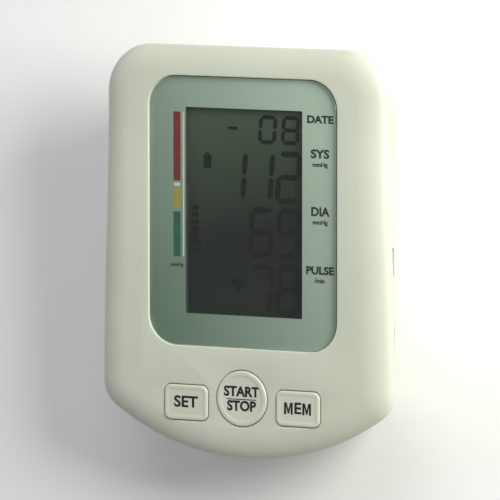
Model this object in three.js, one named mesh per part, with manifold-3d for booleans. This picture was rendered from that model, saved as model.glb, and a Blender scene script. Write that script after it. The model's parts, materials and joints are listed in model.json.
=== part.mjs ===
// Upper arm blood pressure monitor: the head unit, lying on its feet with its display facing up.
// Units are millimetres. Two frames are used. In the stand frame the table is at z = 0, y runs towards
// the top of the display and x to its right. In the face frame the flat front face is the xy plane, and
// z points out of it; the face leans towards the user by faceTilt.
import * as THREE from 'three';
import { mergeVertices } from 'three/addons/utils/BufferGeometryUtils.js';
import Module from 'manifold-3d';

const wasm = await Module();
wasm.setup();

// Driving dimensions
const faceTilt = THREE.MathUtils.degToRad(6.5);
const faceHeight = 42;    // the face above the table, at mid length
const wall = 2.2;
const gap = 0.3;          // clearance between pieces that touch
const body = { top: 70, low: -70, halfTop: 53, halfLow: 55, cornerTop: 16.5, cornerLow: 11, chin: 88 };
const base = { top: 52, low: -58, halfTop: 32, halfLow: 33, cornerTop: 13, cornerLow: 11, chin: 70 };
const baseHeight = 1.6;   // underside of the rear cover above the table
const rim = { round: 10, drop: 4, land: 5.5, parting: 12, taper: THREE.MathUtils.degToRad(30) };
const hullProfile = [     // share of the height, share of the way from the base outline to the rim
  [0, 0], [0.02, 0.12], [0.08, 0.25], [0.19, 0.39], [0.36, 0.55], [0.65, 0.78], [1, 1],
];
const cavityProfile = [[0, 0], [0.12, 0.3], [0.4, 0.58], [1, 1]];

const windowPane = { width: 71, height: 91.2, corner: 10, y: 13.9, top: 0.2, thick: 1.2 };
const maskFilm = { thick: 0.25, depth: 1.7 };
const windowSeat = { depth: 2.3, pan: 3.8, margin: 2.4 };
const display = { width: 44.4, height: 70.1, y: 14.05 };
const glass = { border: 2.8, depth: 4.1, thick: 2.2 };
const backlight = { thick: 1.6, short: 5 };
const holder = { wall: 1.7, floor: 1, depth: 11.6 };
const zebra = { length: 42, width: 2.2 };

const keyHeight = 0.4;    // key tops above the face
const keyGap = 0.3;
const key = { flange: 1.1, flangeThick: 1, stem: 2.2, stemEnd: 6.6 };
const coverThick = 2.4;
const startKey = { x: 0, y: -49, radius: 9.5 };
const sideKey = { x: 21.3, y: -51.4, width: 16.5, height: 12, corner: 2.4 };
const tactSwitch = { side: 6, height: 3.5, plunger: 1.7, plungerHeight: 1 };

const board = { inset: 9.5, top: 12, thick: 1.6 };
const boardScrews = [[40, 12], [-40, 8], [40, -14], [-40, -25]];
const boardScrew = { post: 2.6, shaft: 0.9, head: 1.9, headThick: 1.4, length: 7 };
const caseScrews = [[41, 52], [-41, 52], [42, -38], [-42, -38]];
const caseScrew = {
  post: 3.5, boss: 5, well: 3.4, floor: 3, shaft: 1.3, head: 2.8, headThick: 2, length: 9.6,
};

const cell = { radius: 7.1, length: 49.2, nub: 2.75, nubLength: 1.3, pitch: 15.2, z: 11.5, count: 4 };
const bay = {
  halfWidth: 29.3, low: -42, high: 19.6, ceiling: 18.9, wall: 1.5, landLow: 2.4, landHigh: 5.4,
};
const latchLand = { halfWidth: 11, low: -53, high: -41, top: 7 };
const scoop = { halfWidth: 8, low: -51, high: -42, depth: 3 };
const contact = { thick: 0.5, height: 11, single: 11, bridge: 26.2 };
const spring = { wire: 0.4, large: 4.4, small: 3, turns: 3.5 };
const door = { side: 1, thick: 2.2, hinge: 19.9, tab: 8, tabReach: 2.5, tabX: 18, swing: 3.2, latch: 10 };
const foot = { radius: 3.5, sunk: 0.8, places: [[24, 44], [-24, 44], [21, -50], [-21, -50]] };

const pump = { y: 42, z: 16.5, motor: 10, head: 11, split: -8, left: -28, right: 17, nozzle: 1.6 };
const sleeve = { wall: 1.5, left: -5, right: 14 };
const valve = { x: 26.5, y: 42, low: 9, high: 24, radius: 6, nozzle: 1.6, nozzleHeight: 2 };
const tee = { x: -21.5, y: 23, z: 23.5, reach: 4, radius: 2.2 };
const hose = { outer: 2, inner: 1 };
const jack = { y: 24, z: 23, pocket: 6, pocketX: -41.5, boss: 8, bossX: -38, barrel: 2.8, bore: 1.5 };
const sensor = { x: -21.5, y: 3, side: 9, height: 4.2, port: 1.5, portLength: 2.4 };
const chip = { x: 0, y: -8, side: 12, height: 1.4 };
const capacitors = [[8, 8], [17, 8]];
const capacitor = { radius: 3, height: 6.4 };
const usb = { y: 0, z: 25.8, width: 7.8, height: 4, front: 46.5, length: 9, shell: 0.4 };
const dcSocket = { y: -25, z: 20.5, side: 8, front: 42.8, length: 10, bore: 2.75, pin: 0.9 };
const speaker = { x: -38.2, y: -10, z: 17.5, radius: 8.5, thick: 4.6, lean: THREE.MathUtils.degToRad(30) };
const speakerHole = { radius: 1, ring: 3.6, count: 6 };

const circleSides = 20;
const smallSides = 12;
const beyond = 60;        // where a cutter ends outside the case

// Placement of the face frame in the stand frame
const faceMatrix = new THREE.Matrix4()
  .makeRotationX(faceTilt)
  .setPosition(0, 0, faceHeight);

// --- solids and joins ---

function closed(geometry) {
  // one indexed body with shared vertices, facing out
  const bare = new THREE.BufferGeometry();
  bare.setAttribute('position', geometry.getAttribute('position').clone());
  if (geometry.index) bare.setIndex(geometry.index.clone());
  const merged = mergeVertices(bare, 1e-4);
  const p = merged.getAttribute('position');
  const corners = [];
  let volume = 0;
  const [a, b, c] = [new THREE.Vector3(), new THREE.Vector3(), new THREE.Vector3()];
  for (let i = 0; i < merged.index.count; i += 3) {
    const [u, v, w] = [0, 1, 2].map((k) => merged.index.getX(i + k));
    if (u === v || v === w || w === u) continue;
    corners.push(u, v, w);
    a.fromBufferAttribute(p, u);
    b.fromBufferAttribute(p, v);
    c.fromBufferAttribute(p, w);
    volume += a.dot(b.cross(c));
  }
  if (volume < 0) corners.reverse();
  merged.setIndex(corners);
  return merged;
}

function solid(geometry, matrix) {
  const placed = matrix ? geometry.clone().applyMatrix4(matrix) : geometry;
  const whole = closed(placed);
  return new wasm.Manifold(new wasm.Mesh({
    numProp: 3,
    vertProperties: new Float32Array(whole.getAttribute('position').array),
    triVerts: new Uint32Array(whole.index.array),
  }));
}

function geometryOf(manifold) {
  const mesh = manifold.getMesh();
  const geometry = new THREE.BufferGeometry();
  geometry.setAttribute('position', new THREE.BufferAttribute(mesh.vertProperties, 3));
  geometry.setIndex(new THREE.BufferAttribute(mesh.triVerts, 1));
  return geometry;
}

function cut(from, ...tools) {
  return tools.reduce((rest, tool) => rest.subtract(tool), from);
}

function join(...solids) {
  return solids.reduce((sum, next) => sum.add(next));
}

// --- outlines and simple shapes ---

function arc(x, y, radius, from, to, steps) {
  const points = [];
  for (let i = 1; i <= steps; i += 1) {
    const angle = from + ((to - from) * i) / steps;
    points.push([x + radius * Math.cos(angle), y + radius * Math.sin(angle)]);
  }
  return points;
}

function outline(o, inset = 0) {
  // rounded top corners, gently flared sides and a chin that is one large arc
  const chinY = o.low + o.chin;
  const upper = { x: o.halfTop - o.cornerTop, y: o.top - o.cornerTop, r: o.cornerTop - inset };
  const lower = { x: o.halfLow - o.cornerLow, r: o.cornerLow - inset };
  lower.y = chinY - Math.sqrt((o.chin - o.cornerLow) ** 2 - lower.x ** 2);
  const meet = Math.atan2(lower.y - chinY, lower.x);
  const side = [];
  const sideSteps = 4;
  for (let i = 1; i <= sideSteps; i += 1) {
    const share = i / sideSteps;
    const ease = (1 - Math.cos(Math.PI * share)) / 2;
    const half = THREE.MathUtils.lerp(o.halfLow, o.halfTop, ease) - inset;
    side.push([half, THREE.MathUtils.lerp(lower.y, upper.y, share)]);
  }
  const right = [
    ...arc(0, chinY, o.chin - inset, -Math.PI / 2, meet, 5),
    ...arc(lower.x, lower.y, lower.r, meet, 0, 4),
    ...side,
    ...arc(upper.x, upper.y, upper.r, 0, Math.PI / 2, 6),
  ];
  const left = right.map(([x, y]) => [-x, y]).reverse();
  return [[0, o.low + inset], ...right, [0, o.top - inset], ...left];
}

function ring(o, inset, z) {
  return outline(o, inset).map(([x, y]) => new THREE.Vector3(x, y, z));
}

function loft(rings) {
  // a closed body through rings of equal count, the first one lowest
  const count = rings[0].length;
  const points = rings.flat();
  const index = [];
  for (let r = 0; r + 1 < rings.length; r += 1) {
    for (let i = 0; i < count; i += 1) {
      const next = (i + 1) % count;
      const [a, b] = [r * count + i, r * count + next];
      index.push(a, b, b + count, a, b + count, a + count);
    }
  }
  for (const [r, turn] of [[0, -1], [rings.length - 1, 1]]) {
    const middle = new THREE.Vector3();
    rings[r].forEach((p) => middle.addScaledVector(p, 1 / count));
    points.push(middle);
    for (let i = 0; i < count; i += 1) {
      const pair = [r * count + i, r * count + ((i + 1) % count)];
      if (turn < 0) pair.reverse();
      index.push(points.length - 1, ...pair);
    }
  }
  const geometry = new THREE.BufferGeometry().setFromPoints(points);
  geometry.setIndex(index);
  return geometry;
}

function roundRectangle(width, height, corner) {
  const [x, y] = [width / 2, height / 2];
  const shape = new THREE.Shape();
  shape.absarc(x - corner, y - corner, corner, 0, Math.PI / 2);
  shape.absarc(corner - x, y - corner, corner, Math.PI / 2, Math.PI);
  shape.absarc(corner - x, corner - y, corner, Math.PI, 1.5 * Math.PI);
  shape.absarc(x - corner, corner - y, corner, 1.5 * Math.PI, 2 * Math.PI);
  return shape;
}

function slab(shape, x, y, low, high, curveSegments = 4) {
  const geometry = new THREE.ExtrudeGeometry(
    shape,
    { depth: high - low, bevelEnabled: false, curveSegments },
  );
  return geometry.translate(x, y, low);
}

function block(x0, x1, y0, y1, z0, z1) {
  const box = new THREE.BoxGeometry(x1 - x0, y1 - y0, z1 - z0);
  return box.translate((x0 + x1) / 2, (y0 + y1) / 2, (z0 + z1) / 2);
}

function rod(x, y, radius, low, high, sides = circleSides) {
  const geometry = new THREE.CylinderGeometry(radius, radius, high - low, sides);
  return geometry.rotateX(Math.PI / 2).translate(x, y, (low + high) / 2);
}

function rodAlongX(y, z, radius, left, right, sides = circleSides) {
  const geometry = new THREE.CylinderGeometry(radius, radius, right - left, sides);
  return geometry.rotateZ(Math.PI / 2).translate((left + right) / 2, y, z);
}

function turned(profile, sides = circleSides) {
  // a profile of [radius, height] pairs turned about z
  const points = profile.map(([r, h]) => new THREE.Vector2(r, h));
  return new THREE.LatheGeometry(points, sides).rotateX(Math.PI / 2);
}

function alongPath(points, outer, inner, sides, steps) {
  const shape = new THREE.Shape();
  shape.absarc(0, 0, outer, 0, 2 * Math.PI);
  if (inner) shape.holes.push(new THREE.Path().absarc(0, 0, inner, 0, 2 * Math.PI, true));
  const extrudePath = new THREE.CatmullRomCurve3(points.map((p) => new THREE.Vector3(...p)));
  return new THREE.ExtrudeGeometry(shape, { extrudePath, steps, curveSegments: sides / 2 });
}

// --- the assembly ---

const monitor = new THREE.Group();
const stand = new THREE.Group();
const face = new THREE.Group();
face.rotation.x = faceTilt;
face.position.z = faceHeight;
stand.add(face);
monitor.add(stand);

function finish(color, roughness, metalness = 0) {
  return () => new THREE.MeshStandardMaterial({ color, roughness, metalness });
}

const shellPlastic = finish(0xc4cab4, 0.45);
const clearPlastic = finish(0xdfe6e0, 0.1);
const printedFilm = finish(0x7f9084, 0.4);
const darkPlastic = finish(0x2b2f2d, 0.5);
const lcdGlass = finish(0x39413a, 0.15);
const whitePlastic = finish(0xe6e7e2, 0.4);
const boardGreen = finish(0x1f5a38, 0.5);
const rubberGrey = finish(0x4a4d4c, 0.8);
const siliconeHose = finish(0xd8dad6, 0.5);
const steel = finish(0xb8babd, 0.3, 1);
const cellJacket = finish(0x3d4f63, 0.35);
const foamBlack = finish(0x232425, 0.95);

function add(group, name, geometry, material) {
  const mesh = new THREE.Mesh(closed(geometry), material());
  mesh.name = name;
  group.add(mesh);
}

// Front cover, in the face frame
function frontCover() {
  const partingInset = (rim.parting - rim.land) * Math.tan(rim.taper);
  const outer = [ring(body, partingInset, -rim.parting), ring(body, 0, -rim.land)];
  const roundSteps = 5;
  for (let i = 0; i <= roundSteps; i += 1) {
    const angle = (Math.PI / 2) * (1 - i / roundSteps);
    outer.push(ring(body, rim.round * (1 - Math.sin(angle)), -rim.drop * (1 - Math.cos(angle))));
  }
  const inner = [
    ring(body, partingInset + wall + 0.6, -rim.parting - 1),
    ring(body, wall, -rim.land),
    ring(body, wall + 1, -rim.drop + 0.4),
    ring(body, rim.round / 2, -coverThick),
  ];
  const seat = roundRectangle(
    windowPane.width + 2 * gap,
    windowPane.height + 2 * gap,
    windowPane.corner + gap,
  );
  const pan = roundRectangle(
    windowPane.width + 2 * windowSeat.margin,
    windowPane.height + 2 * windowSeat.margin,
    windowPane.corner + windowSeat.margin,
  );
  const sight = roundRectangle(display.width + 1, display.height + 1, 0.8);
  let hollow = cut(solid(loft(inner)), solid(slab(pan, 0, windowPane.y, -windowSeat.pan, 0)));
  for (const [x, y] of caseScrews) {
    hollow = cut(hollow, solid(rod(x, y, caseScrew.post, -rim.parting, 0, smallSides)));
  }
  for (const [x, y] of boardScrews) {
    hollow = cut(hollow, solid(rod(x, y, boardScrew.post, -board.top + gap, 0, 8)));
  }
  let cover = cut(solid(loft(outer)), hollow);
  for (const [x, y] of caseScrews) {
    cover = cut(cover, solid(rod(x, y, caseScrew.shaft + gap, -rim.parting - 1, -5, 8)));
  }
  for (const [x, y] of boardScrews) {
    cover = cut(cover, solid(rod(x, y, boardScrew.shaft + gap, -board.top - 1, -5, 6)));
  }
  const sideSlot = roundRectangle(
    sideKey.width + 2 * keyGap,
    sideKey.height + 2 * keyGap,
    sideKey.corner + keyGap,
  );
  return cut(
    cover,
    solid(slab(seat, 0, windowPane.y, -windowSeat.depth, 1)),
    solid(slab(sight, 0, display.y, -windowSeat.pan - 1, 1)),
    solid(rod(startKey.x, startKey.y, startKey.radius + keyGap, -6, 1, 24)),
    solid(slab(sideSlot, -sideKey.x, sideKey.y, -6, 1)),
    solid(slab(sideSlot, sideKey.x, sideKey.y, -6, 1)),
  );
}

// Rear cover, in the stand frame: a hull lofted from the flat base to the sloping parting line
function hullRings(profile, inset, baseLift, above) {
  const partingInset = (rim.parting - rim.land) * Math.tan(rim.taper);
  const low = ring(base, inset, baseHeight + baseLift);
  const high = ring(body, partingInset + inset, -rim.parting - gap).map((p) => p.applyMatrix4(faceMatrix));
  const rings = profile.map(([height, width]) => low.map((p, i) => new THREE.Vector3(
    THREE.MathUtils.lerp(p.x, high[i].x, width),
    THREE.MathUtils.lerp(p.y, high[i].y, width),
    THREE.MathUtils.lerp(p.z, high[i].z, height),
  )));
  if (above) rings.push(high.map((p) => p.clone().add(new THREE.Vector3(0, 0, above))));
  return rings;
}

function bossAt(x, y, radius, high, sides) {
  return solid(rod(x, y, radius, -beyond, high, sides), faceMatrix);
}

function ribs() {
  // pump cradle
  return [-3, 9].map((x) => cut(
    solid(block(x, x + 2, pump.y - 12, pump.y + 9, 0, 12)),
    solid(rodAlongX(pump.y, pump.z, pump.motor + sleeve.wall + 2 * gap, x - 1, x + 3)),
  ));
}

function rearCover() {
  // the cavity is cut from the hull in one piece, less everything that stands up inside it
  const bayBlock = solid(block(
    -bay.halfWidth - bay.wall, bay.halfWidth + bay.wall,
    bay.low - door.side - bay.landLow, bay.high + bay.landHigh, 0, bay.ceiling + bay.wall,
  ));
  const land = solid(block(
    -latchLand.halfWidth, latchLand.halfWidth, latchLand.low, latchLand.high, 0, latchLand.top,
  ));
  const inletBoss = solid(rodAlongX(jack.y, jack.z, jack.boss, -beyond, jack.bossX, 16));
  const bosses = caseScrews.map(([x, y]) => bossAt(x, y, caseScrew.boss, -rim.parting - gap, smallSides));
  const cavity = cut(
    solid(loft(hullRings(cavityProfile, wall, wall, 3))),
    bayBlock, land, inletBoss, ...bosses, ...ribs(),
  );
  let cover = cut(solid(loft(hullRings(hullProfile, 0, 0, 0))), cavity);

  // a fence inside the parting line that the front cover fits over
  const inside = (rim.parting - rim.land) * Math.tan(rim.taper) + wall;
  const seam = -rim.parting - gap;
  const fence = cut(
    solid(loft([ring(body, inside - 0.6, seam - 2.6), ring(body, inside - 0.6, seam - 0.4),
      ring(body, inside + gap, seam - 0.2), ring(body, inside + gap, seam + 2.4)])),
    solid(loft([ring(body, inside + 1.3, seam - 3), ring(body, inside + 1.3, seam + 3)])),
  );
  cover = join(cover, fence.transform(faceMatrix.elements));

  const wellTop = seam - caseScrew.floor;
  for (const [x, y] of caseScrews) {
    cover = cut(
      cover,
      bossAt(x, y, caseScrew.well, wellTop, smallSides),
      bossAt(x, y, caseScrew.shaft + gap, 0, 8),
    );
  }

  // air inlet and speaker grille on the left, sockets on the right
  const usbHole = [usb.width / 2 + 0.8, usb.height / 2 + 0.6];
  cover = cut(
    cover,
    solid(rodAlongX(jack.y, jack.z, jack.pocket, -beyond, jack.pocketX, 16)),
    solid(rodAlongX(jack.y, jack.z, jack.barrel + gap, -beyond, jack.bossX + 1, 16)),
    solid(block(
      usb.front - 8, beyond, usb.y - usbHole[0], usb.y + usbHole[0], usb.z - usbHole[1], usb.z + usbHole[1],
    )),
    solid(rodAlongX(dcSocket.y, dcSocket.z, dcSocket.bore + 0.7, dcSocket.front - 2, beyond, 16)),
  );
  for (let i = 0; i <= speakerHole.count; i += 1) {
    const angle = (2 * Math.PI * i) / speakerHole.count;
    const reach = i < speakerHole.count ? speakerHole.ring : 0;
    const hole = rod(reach * Math.cos(angle), reach * Math.sin(angle), speakerHole.radius, -14, 0, 6);
    cover = cut(cover, solid(hole, speakerMatrix()));
  }

  // battery opening, door seat, hinge slots, latch scoop and foot sockets
  const doorHalf = bay.halfWidth + door.side;
  const hingeZ = baseHeight + door.thick / 2;
  const seatTop = baseHeight + door.thick + gap;
  cover = cut(
    cover,
    solid(block(-bay.halfWidth, bay.halfWidth, bay.low, bay.high, 0, bay.ceiling)),
    solid(block(
      -doorHalf - gap, doorHalf + gap,
      bay.low - door.side - gap, door.hinge + door.thick / 2 + gap, 0, seatTop,
    )),
    solid(block(-scoop.halfWidth, scoop.halfWidth, scoop.low, scoop.high, 0, baseHeight + scoop.depth)),
  );
  for (const x of [-door.tabX, door.tabX]) {
    const reach = door.tab / 2 + gap;
    const swept = solid(rodAlongX(door.hinge, hingeZ, door.swing, x - reach, x + reach));
    const above = solid(block(
      x - door.tab, x + door.tab, door.hinge - 5, door.hinge + 5, hingeZ - 0.1, hingeZ + 5,
    ));
    cover = cut(cover, swept.intersect(above));
  }
  for (const [x, y] of foot.places) {
    cover = cut(cover, solid(rod(x, y, foot.radius + gap, 0, baseHeight + foot.sunk + gap, 16)));
  }
  return cover;
}

function speakerMatrix() {
  // z of the speaker's own frame points inwards, away from the sloping left wall
  return new THREE.Matrix4()
    .makeRotationY(Math.PI / 2 - speaker.lean)
    .setPosition(speaker.x, speaker.y, speaker.z);
}

function addCovers() {
  add(face, 'front_cover', geometryOf(frontCover()), shellPlastic);
  add(stand, 'rear_cover', geometryOf(rearCover()), shellPlastic);
}

// Display stack, in the face frame
function addDisplay() {
  const pane = roundRectangle(windowPane.width, windowPane.height, windowPane.corner);
  const paneLow = -windowPane.top - windowPane.thick;
  add(face, 'display_window', slab(pane, 0, windowPane.y, paneLow, -windowPane.top), clearPlastic);

  const film = solid(slab(pane, 0, windowPane.y, -maskFilm.depth - maskFilm.thick, -maskFilm.depth));
  const sight = solid(slab(roundRectangle(display.width, display.height, 0.5), 0, display.y, -3, 0));
  add(face, 'window_mask', geometryOf(cut(film, sight)), printedFilm);

  const half = { x: display.width / 2 + glass.border, y: display.height / 2 + glass.border };
  const glassLow = -glass.depth - glass.thick;
  const { y } = display;
  add(face, 'lcd_glass', block(-half.x, half.x, y - half.y, y + half.y, glassLow, -glass.depth), lcdGlass);

  const lightTop = glassLow - gap;
  const lightLow = lightTop - backlight.thick;
  add(
    face,
    'lcd_backlight',
    block(gap - half.x, half.x - gap, y - half.y + backlight.short, y + half.y - gap, lightLow, lightTop),
    whitePlastic,
  );

  const [hx, hy] = [half.x + gap + holder.wall, half.y + gap + holder.wall];
  const zebraY = y - half.y + zebra.width;
  const tray = cut(
    solid(block(-hx, hx, y - hy, y + hy, -holder.depth, -windowSeat.pan - gap)),
    solid(block(-half.x - gap, half.x + gap, y - half.y - gap, y + half.y + gap, lightLow - gap, 0)),
    solid(block(
      -half.x, half.x, y - half.y + backlight.short, y + half.y, -20, lightLow - gap - holder.floor,
    )),
    solid(block(-zebra.length / 2 - gap, zebra.length / 2 + gap, zebraY - 1.5, zebraY + 1.5, -20, 0)),
  );
  add(face, 'lcd_holder', geometryOf(tray), darkPlastic);
  add(
    face,
    'zebra_strip',
    block(
      -zebra.length / 2, zebra.length / 2, zebraY - zebra.width / 2, zebraY + zebra.width / 2,
      -board.top + gap, glassLow - gap,
    ),
    rubberGrey,
  );
}

// Keys and the switches below them, in the face frame
function keyBody(cap, flange, x, y) {
  const flangeTop = -coverThick - gap;
  const stem = rod(x, y, key.stem, -key.stemEnd, flangeTop - 0.5, smallSides);
  return geometryOf(join(
    cap(flangeTop - 0.5, keyHeight),
    flange(flangeTop - key.flangeThick, flangeTop),
    solid(stem),
  ));
}

function addKeys() {
  const round = (radius) => (low, high) => solid(rod(startKey.x, startKey.y, radius, low, high, 24));
  add(
    face,
    'start_stop_key',
    keyBody(round(startKey.radius), round(startKey.radius + key.flange), startKey.x, startKey.y),
    shellPlastic,
  );
  for (const [name, x] of [['set_key', -sideKey.x], ['mem_key', sideKey.x]]) {
    const oblong = (grow) => (low, high) => solid(slab(
      roundRectangle(sideKey.width + 2 * grow, sideKey.height + 2 * grow, sideKey.corner + grow),
      x, sideKey.y, low, high,
    ));
    add(face, name, keyBody(oblong(0), oblong(key.flange), x, sideKey.y), shellPlastic);
  }
  const places = [['set_switch', -sideKey.x, sideKey.y], ['start_stop_switch', startKey.x, startKey.y],
    ['mem_switch', sideKey.x, sideKey.y]];
  const half = tactSwitch.side / 2;
  const low = -board.top + gap;
  const top = low + tactSwitch.height;
  for (const [name, x, y] of places) {
    const housing = solid(block(x - half, x + half, y - half, y + half, low, top));
    const plungerTop = top + tactSwitch.plungerHeight;
    const plunger = solid(rod(x, y, tactSwitch.plunger, top - 0.5, plungerTop, smallSides));
    add(face, name, geometryOf(join(housing, plunger)), darkPlastic);
  }
}

// Circuit board and what it carries, in the face frame
function addBoard() {
  const low = -board.top - board.thick;
  let plate = solid(loft([ring(body, board.inset, low), ring(body, board.inset, -board.top)]));
  for (const [x, y] of caseScrews) plate = cut(plate, solid(rod(x, y, caseScrew.boss + 0.5, -20, 0, 16)));
  for (const [x, y] of boardScrews) plate = cut(plate, solid(rod(x, y, boardScrew.shaft + 0.4, -20, 0, 8)));
  add(face, 'main_board', geometryOf(plate), boardGreen);

  const under = low - gap;
  const { side, height } = chip;
  add(
    face,
    'main_chip',
    block(chip.x - side / 2, chip.x + side / 2, chip.y - side / 2, chip.y + side / 2, under - height, under),
    darkPlastic,
  );

  const half = sensor.side / 2;
  const portZ = under - sensor.height / 2;
  const can = solid(block(
    sensor.x - half, sensor.x + half, sensor.y - half, sensor.y + half, under - sensor.height, under,
  ));
  const port = new THREE.CylinderGeometry(sensor.port, sensor.port, sensor.portLength + 1, smallSides)
    .translate(sensor.x, sensor.y + half + sensor.portLength / 2 - 0.5, portZ);
  add(face, 'pressure_sensor', geometryOf(join(can, solid(port))), whitePlastic);

  capacitors.forEach(([x, y], i) => {
    const barrel = rod(x, y, capacitor.radius, under - capacitor.height, under, 16);
    add(face, `capacitor_${i + 1}`, barrel, steel);
  });

  boardScrews.forEach(([x, y], i) => {
    const head = low - gap;
    const screw = turned([
      [0, head - boardScrew.headThick], [boardScrew.head, head - boardScrew.headThick],
      [boardScrew.head, head],
      [boardScrew.shaft, head], [boardScrew.shaft, head + boardScrew.length], [0, head + boardScrew.length],
    ], smallSides);
    add(face, `board_screw_${i + 1}`, screw.translate(x, y, 0), steel);
  });
}

function addCaseScrews() {
  const seat = -rim.parting - gap - caseScrew.floor - gap;
  caseScrews.forEach(([x, y], i) => {
    const screw = turned([
      [0, seat - caseScrew.headThick + 0.6], [caseScrew.head * 0.45, seat - caseScrew.headThick],
      [caseScrew.head, seat - 0.8], [caseScrew.head, seat],
      [caseScrew.shaft, seat], [caseScrew.shaft, seat + caseScrew.length - 1], [0, seat + caseScrew.length],
    ], 16);
    add(face, `case_screw_${i + 1}`, screw.translate(x, y, 0), steel);
  });
}

// Sockets and speaker, in the stand frame
function addSockets() {
  const [w, h] = [usb.width / 2, usb.height / 2];
  const left = usb.front - usb.length;
  const shell = cut(
    solid(block(left, usb.front, usb.y - w, usb.y + w, usb.z - h, usb.z + h)),
    solid(block(
      left + 1, usb.front + 1,
      usb.y - w + usb.shell, usb.y + w - usb.shell, usb.z - h + usb.shell, usb.z + h - usb.shell,
    )),
  );
  const tongue = solid(block(
    left + 0.5, usb.front - 1.2, usb.y - w + 1.6, usb.y + w - 1.6, usb.z - 0.5, usb.z + 0.7,
  ));
  add(stand, 'usb_socket', geometryOf(join(shell, tongue)), steel);

  const half = dcSocket.side / 2;
  const back = dcSocket.front - dcSocket.length;
  const housing = cut(
    solid(block(
      back, dcSocket.front, dcSocket.y - half, dcSocket.y + half, dcSocket.z - half, dcSocket.z + half,
    )),
    solid(rodAlongX(dcSocket.y, dcSocket.z, dcSocket.bore, back + 1.5, dcSocket.front + 1, 16)),
  );
  const pin = solid(rodAlongX(dcSocket.y, dcSocket.z, dcSocket.pin, back + 1, dcSocket.front - 1, 8));
  add(stand, 'dc_socket', geometryOf(join(housing, pin)), darkPlastic);

  const { radius, thick } = speaker;
  const driver = turned([
    [0, 0], [radius * 0.3, 0.4], [radius * 0.8, -thick / 2 + 0.6], [radius, -thick / 2], [radius, 0],
    [radius * 0.55, thick / 2], [0, thick / 2],
  ]);
  add(stand, 'speaker', driver.applyMatrix4(speakerMatrix()), darkPlastic);
}

// Air path, in the stand frame
function addAirPath() {
  const { y, z } = pump;
  const motor = join(
    solid(rodAlongX(y, z, pump.motor, pump.split + gap, pump.right)),
    solid(rodAlongX(y, z, 2.5, pump.right - 1, pump.right + 1.6, smallSides)),
  );
  add(stand, 'pump_motor', geometryOf(motor), steel);
  const head = join(
    solid(rodAlongX(y, z, pump.head, pump.left, pump.split)),
    solid(rodAlongX(y, z, pump.nozzle, pump.left - 3, pump.left + 1, smallSides)),
  );
  add(stand, 'pump_head', geometryOf(head), whitePlastic);
  const foam = cut(
    solid(rodAlongX(y, z, pump.motor + gap + sleeve.wall, sleeve.left, sleeve.right)),
    solid(rodAlongX(y, z, pump.motor + gap, sleeve.left - 1, sleeve.right + 1)),
  );
  add(stand, 'pump_sleeve', geometryOf(foam), foamBlack);

  const can = join(
    solid(rod(valve.x, valve.y, valve.radius, valve.low, valve.high, 20)),
    solid(rod(valve.x, valve.y, valve.nozzle, valve.high - 1, valve.high + valve.nozzleHeight, smallSides)),
  );
  add(stand, 'release_valve', geometryOf(can), steel);

  const across = solid(rodAlongX(tee.y, tee.z, tee.radius, tee.x - tee.reach, tee.x + tee.reach, smallSides));
  const along = new THREE.CylinderGeometry(tee.radius, tee.radius, 2 * tee.reach, smallSides)
    .translate(tee.x, tee.y, tee.z);
  add(stand, 'air_cross', geometryOf(join(across, solid(along))), whitePlastic);

  const inlet = turned([
    [jack.bore, 0], [jack.barrel, 0], [jack.barrel, 9.2], [5.4, 9.2], [5.4, 10.8], [2, 10.8], [2, 15.2],
    [jack.bore - 0.4, 15.2], [jack.bore - 0.4, 8], [jack.bore, 7.4], [jack.bore, 0],
  ]);
  inlet.rotateY(Math.PI / 2).translate(jack.bossX - gap - 8.6, jack.y, jack.z);
  add(stand, 'air_inlet', inlet, darkPlastic);

  const ringSeal = turned([
    [jack.barrel + gap, 0], [jack.barrel + 1.4, 0], [jack.barrel + 1.4, 1], [jack.barrel + gap, 1],
    [jack.barrel + gap, 0],
  ]);
  ringSeal.rotateY(Math.PI / 2).translate(jack.pocketX - gap - 1, jack.y, jack.z);
  add(stand, 'inlet_seal', ringSeal, rubberGrey);

  const outer = { x: tee.x + tee.reach + gap, y: tee.y + tee.reach + gap };
  const inner = { x: tee.x - tee.reach - gap, y: tee.y - tee.reach - gap };
  const inletEnd = jack.bossX - gap - 8.6 + 15.2 + gap;
  const hoses = {
    inlet_hose: [
      [inletEnd, jack.y, jack.z], [inletEnd + 1.2, jack.y, jack.z],
      [inner.x - 1.2, tee.y, tee.z], [inner.x, tee.y, tee.z],
    ],
    pump_hose: [
      [pump.left - 3 - gap, y, z], [pump.left - 4.3, y, z], [-35.4, y - 2, z + 1.4], [-36.2, 36, z + 4.4],
      [-32.6, 31.4, 22.6], [-26, 30.2, 23.6], [tee.x, outer.y + 1.4, tee.z], [tee.x, outer.y, tee.z],
    ],
    valve_hose: [
      [outer.x, tee.y, tee.z], [outer.x + 1.4, tee.y, tee.z], [-4, 23.6, 24.4], [12, 25.4, 25.2],
      [21, 31, 27.4], [valve.x - 0.6, 39.4, 29.8], [valve.x, valve.y, valve.high + valve.nozzleHeight + 1.8],
      [valve.x, valve.y, valve.high + valve.nozzleHeight + gap],
    ],
    sensor_hose: [
      [tee.x, inner.y, tee.z], [tee.x, inner.y - 1.2, tee.z], [tee.x, 13.6, 27], [tee.x, 12.4, 27.2],
    ],
  };
  for (const [name, route] of Object.entries(hoses)) {
    const steps = name === 'inlet_hose' ? 3 : 11;
    add(stand, name, alongPath(route, hose.outer, hose.inner, 8, steps), siliconeHose);
  }
}

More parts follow.
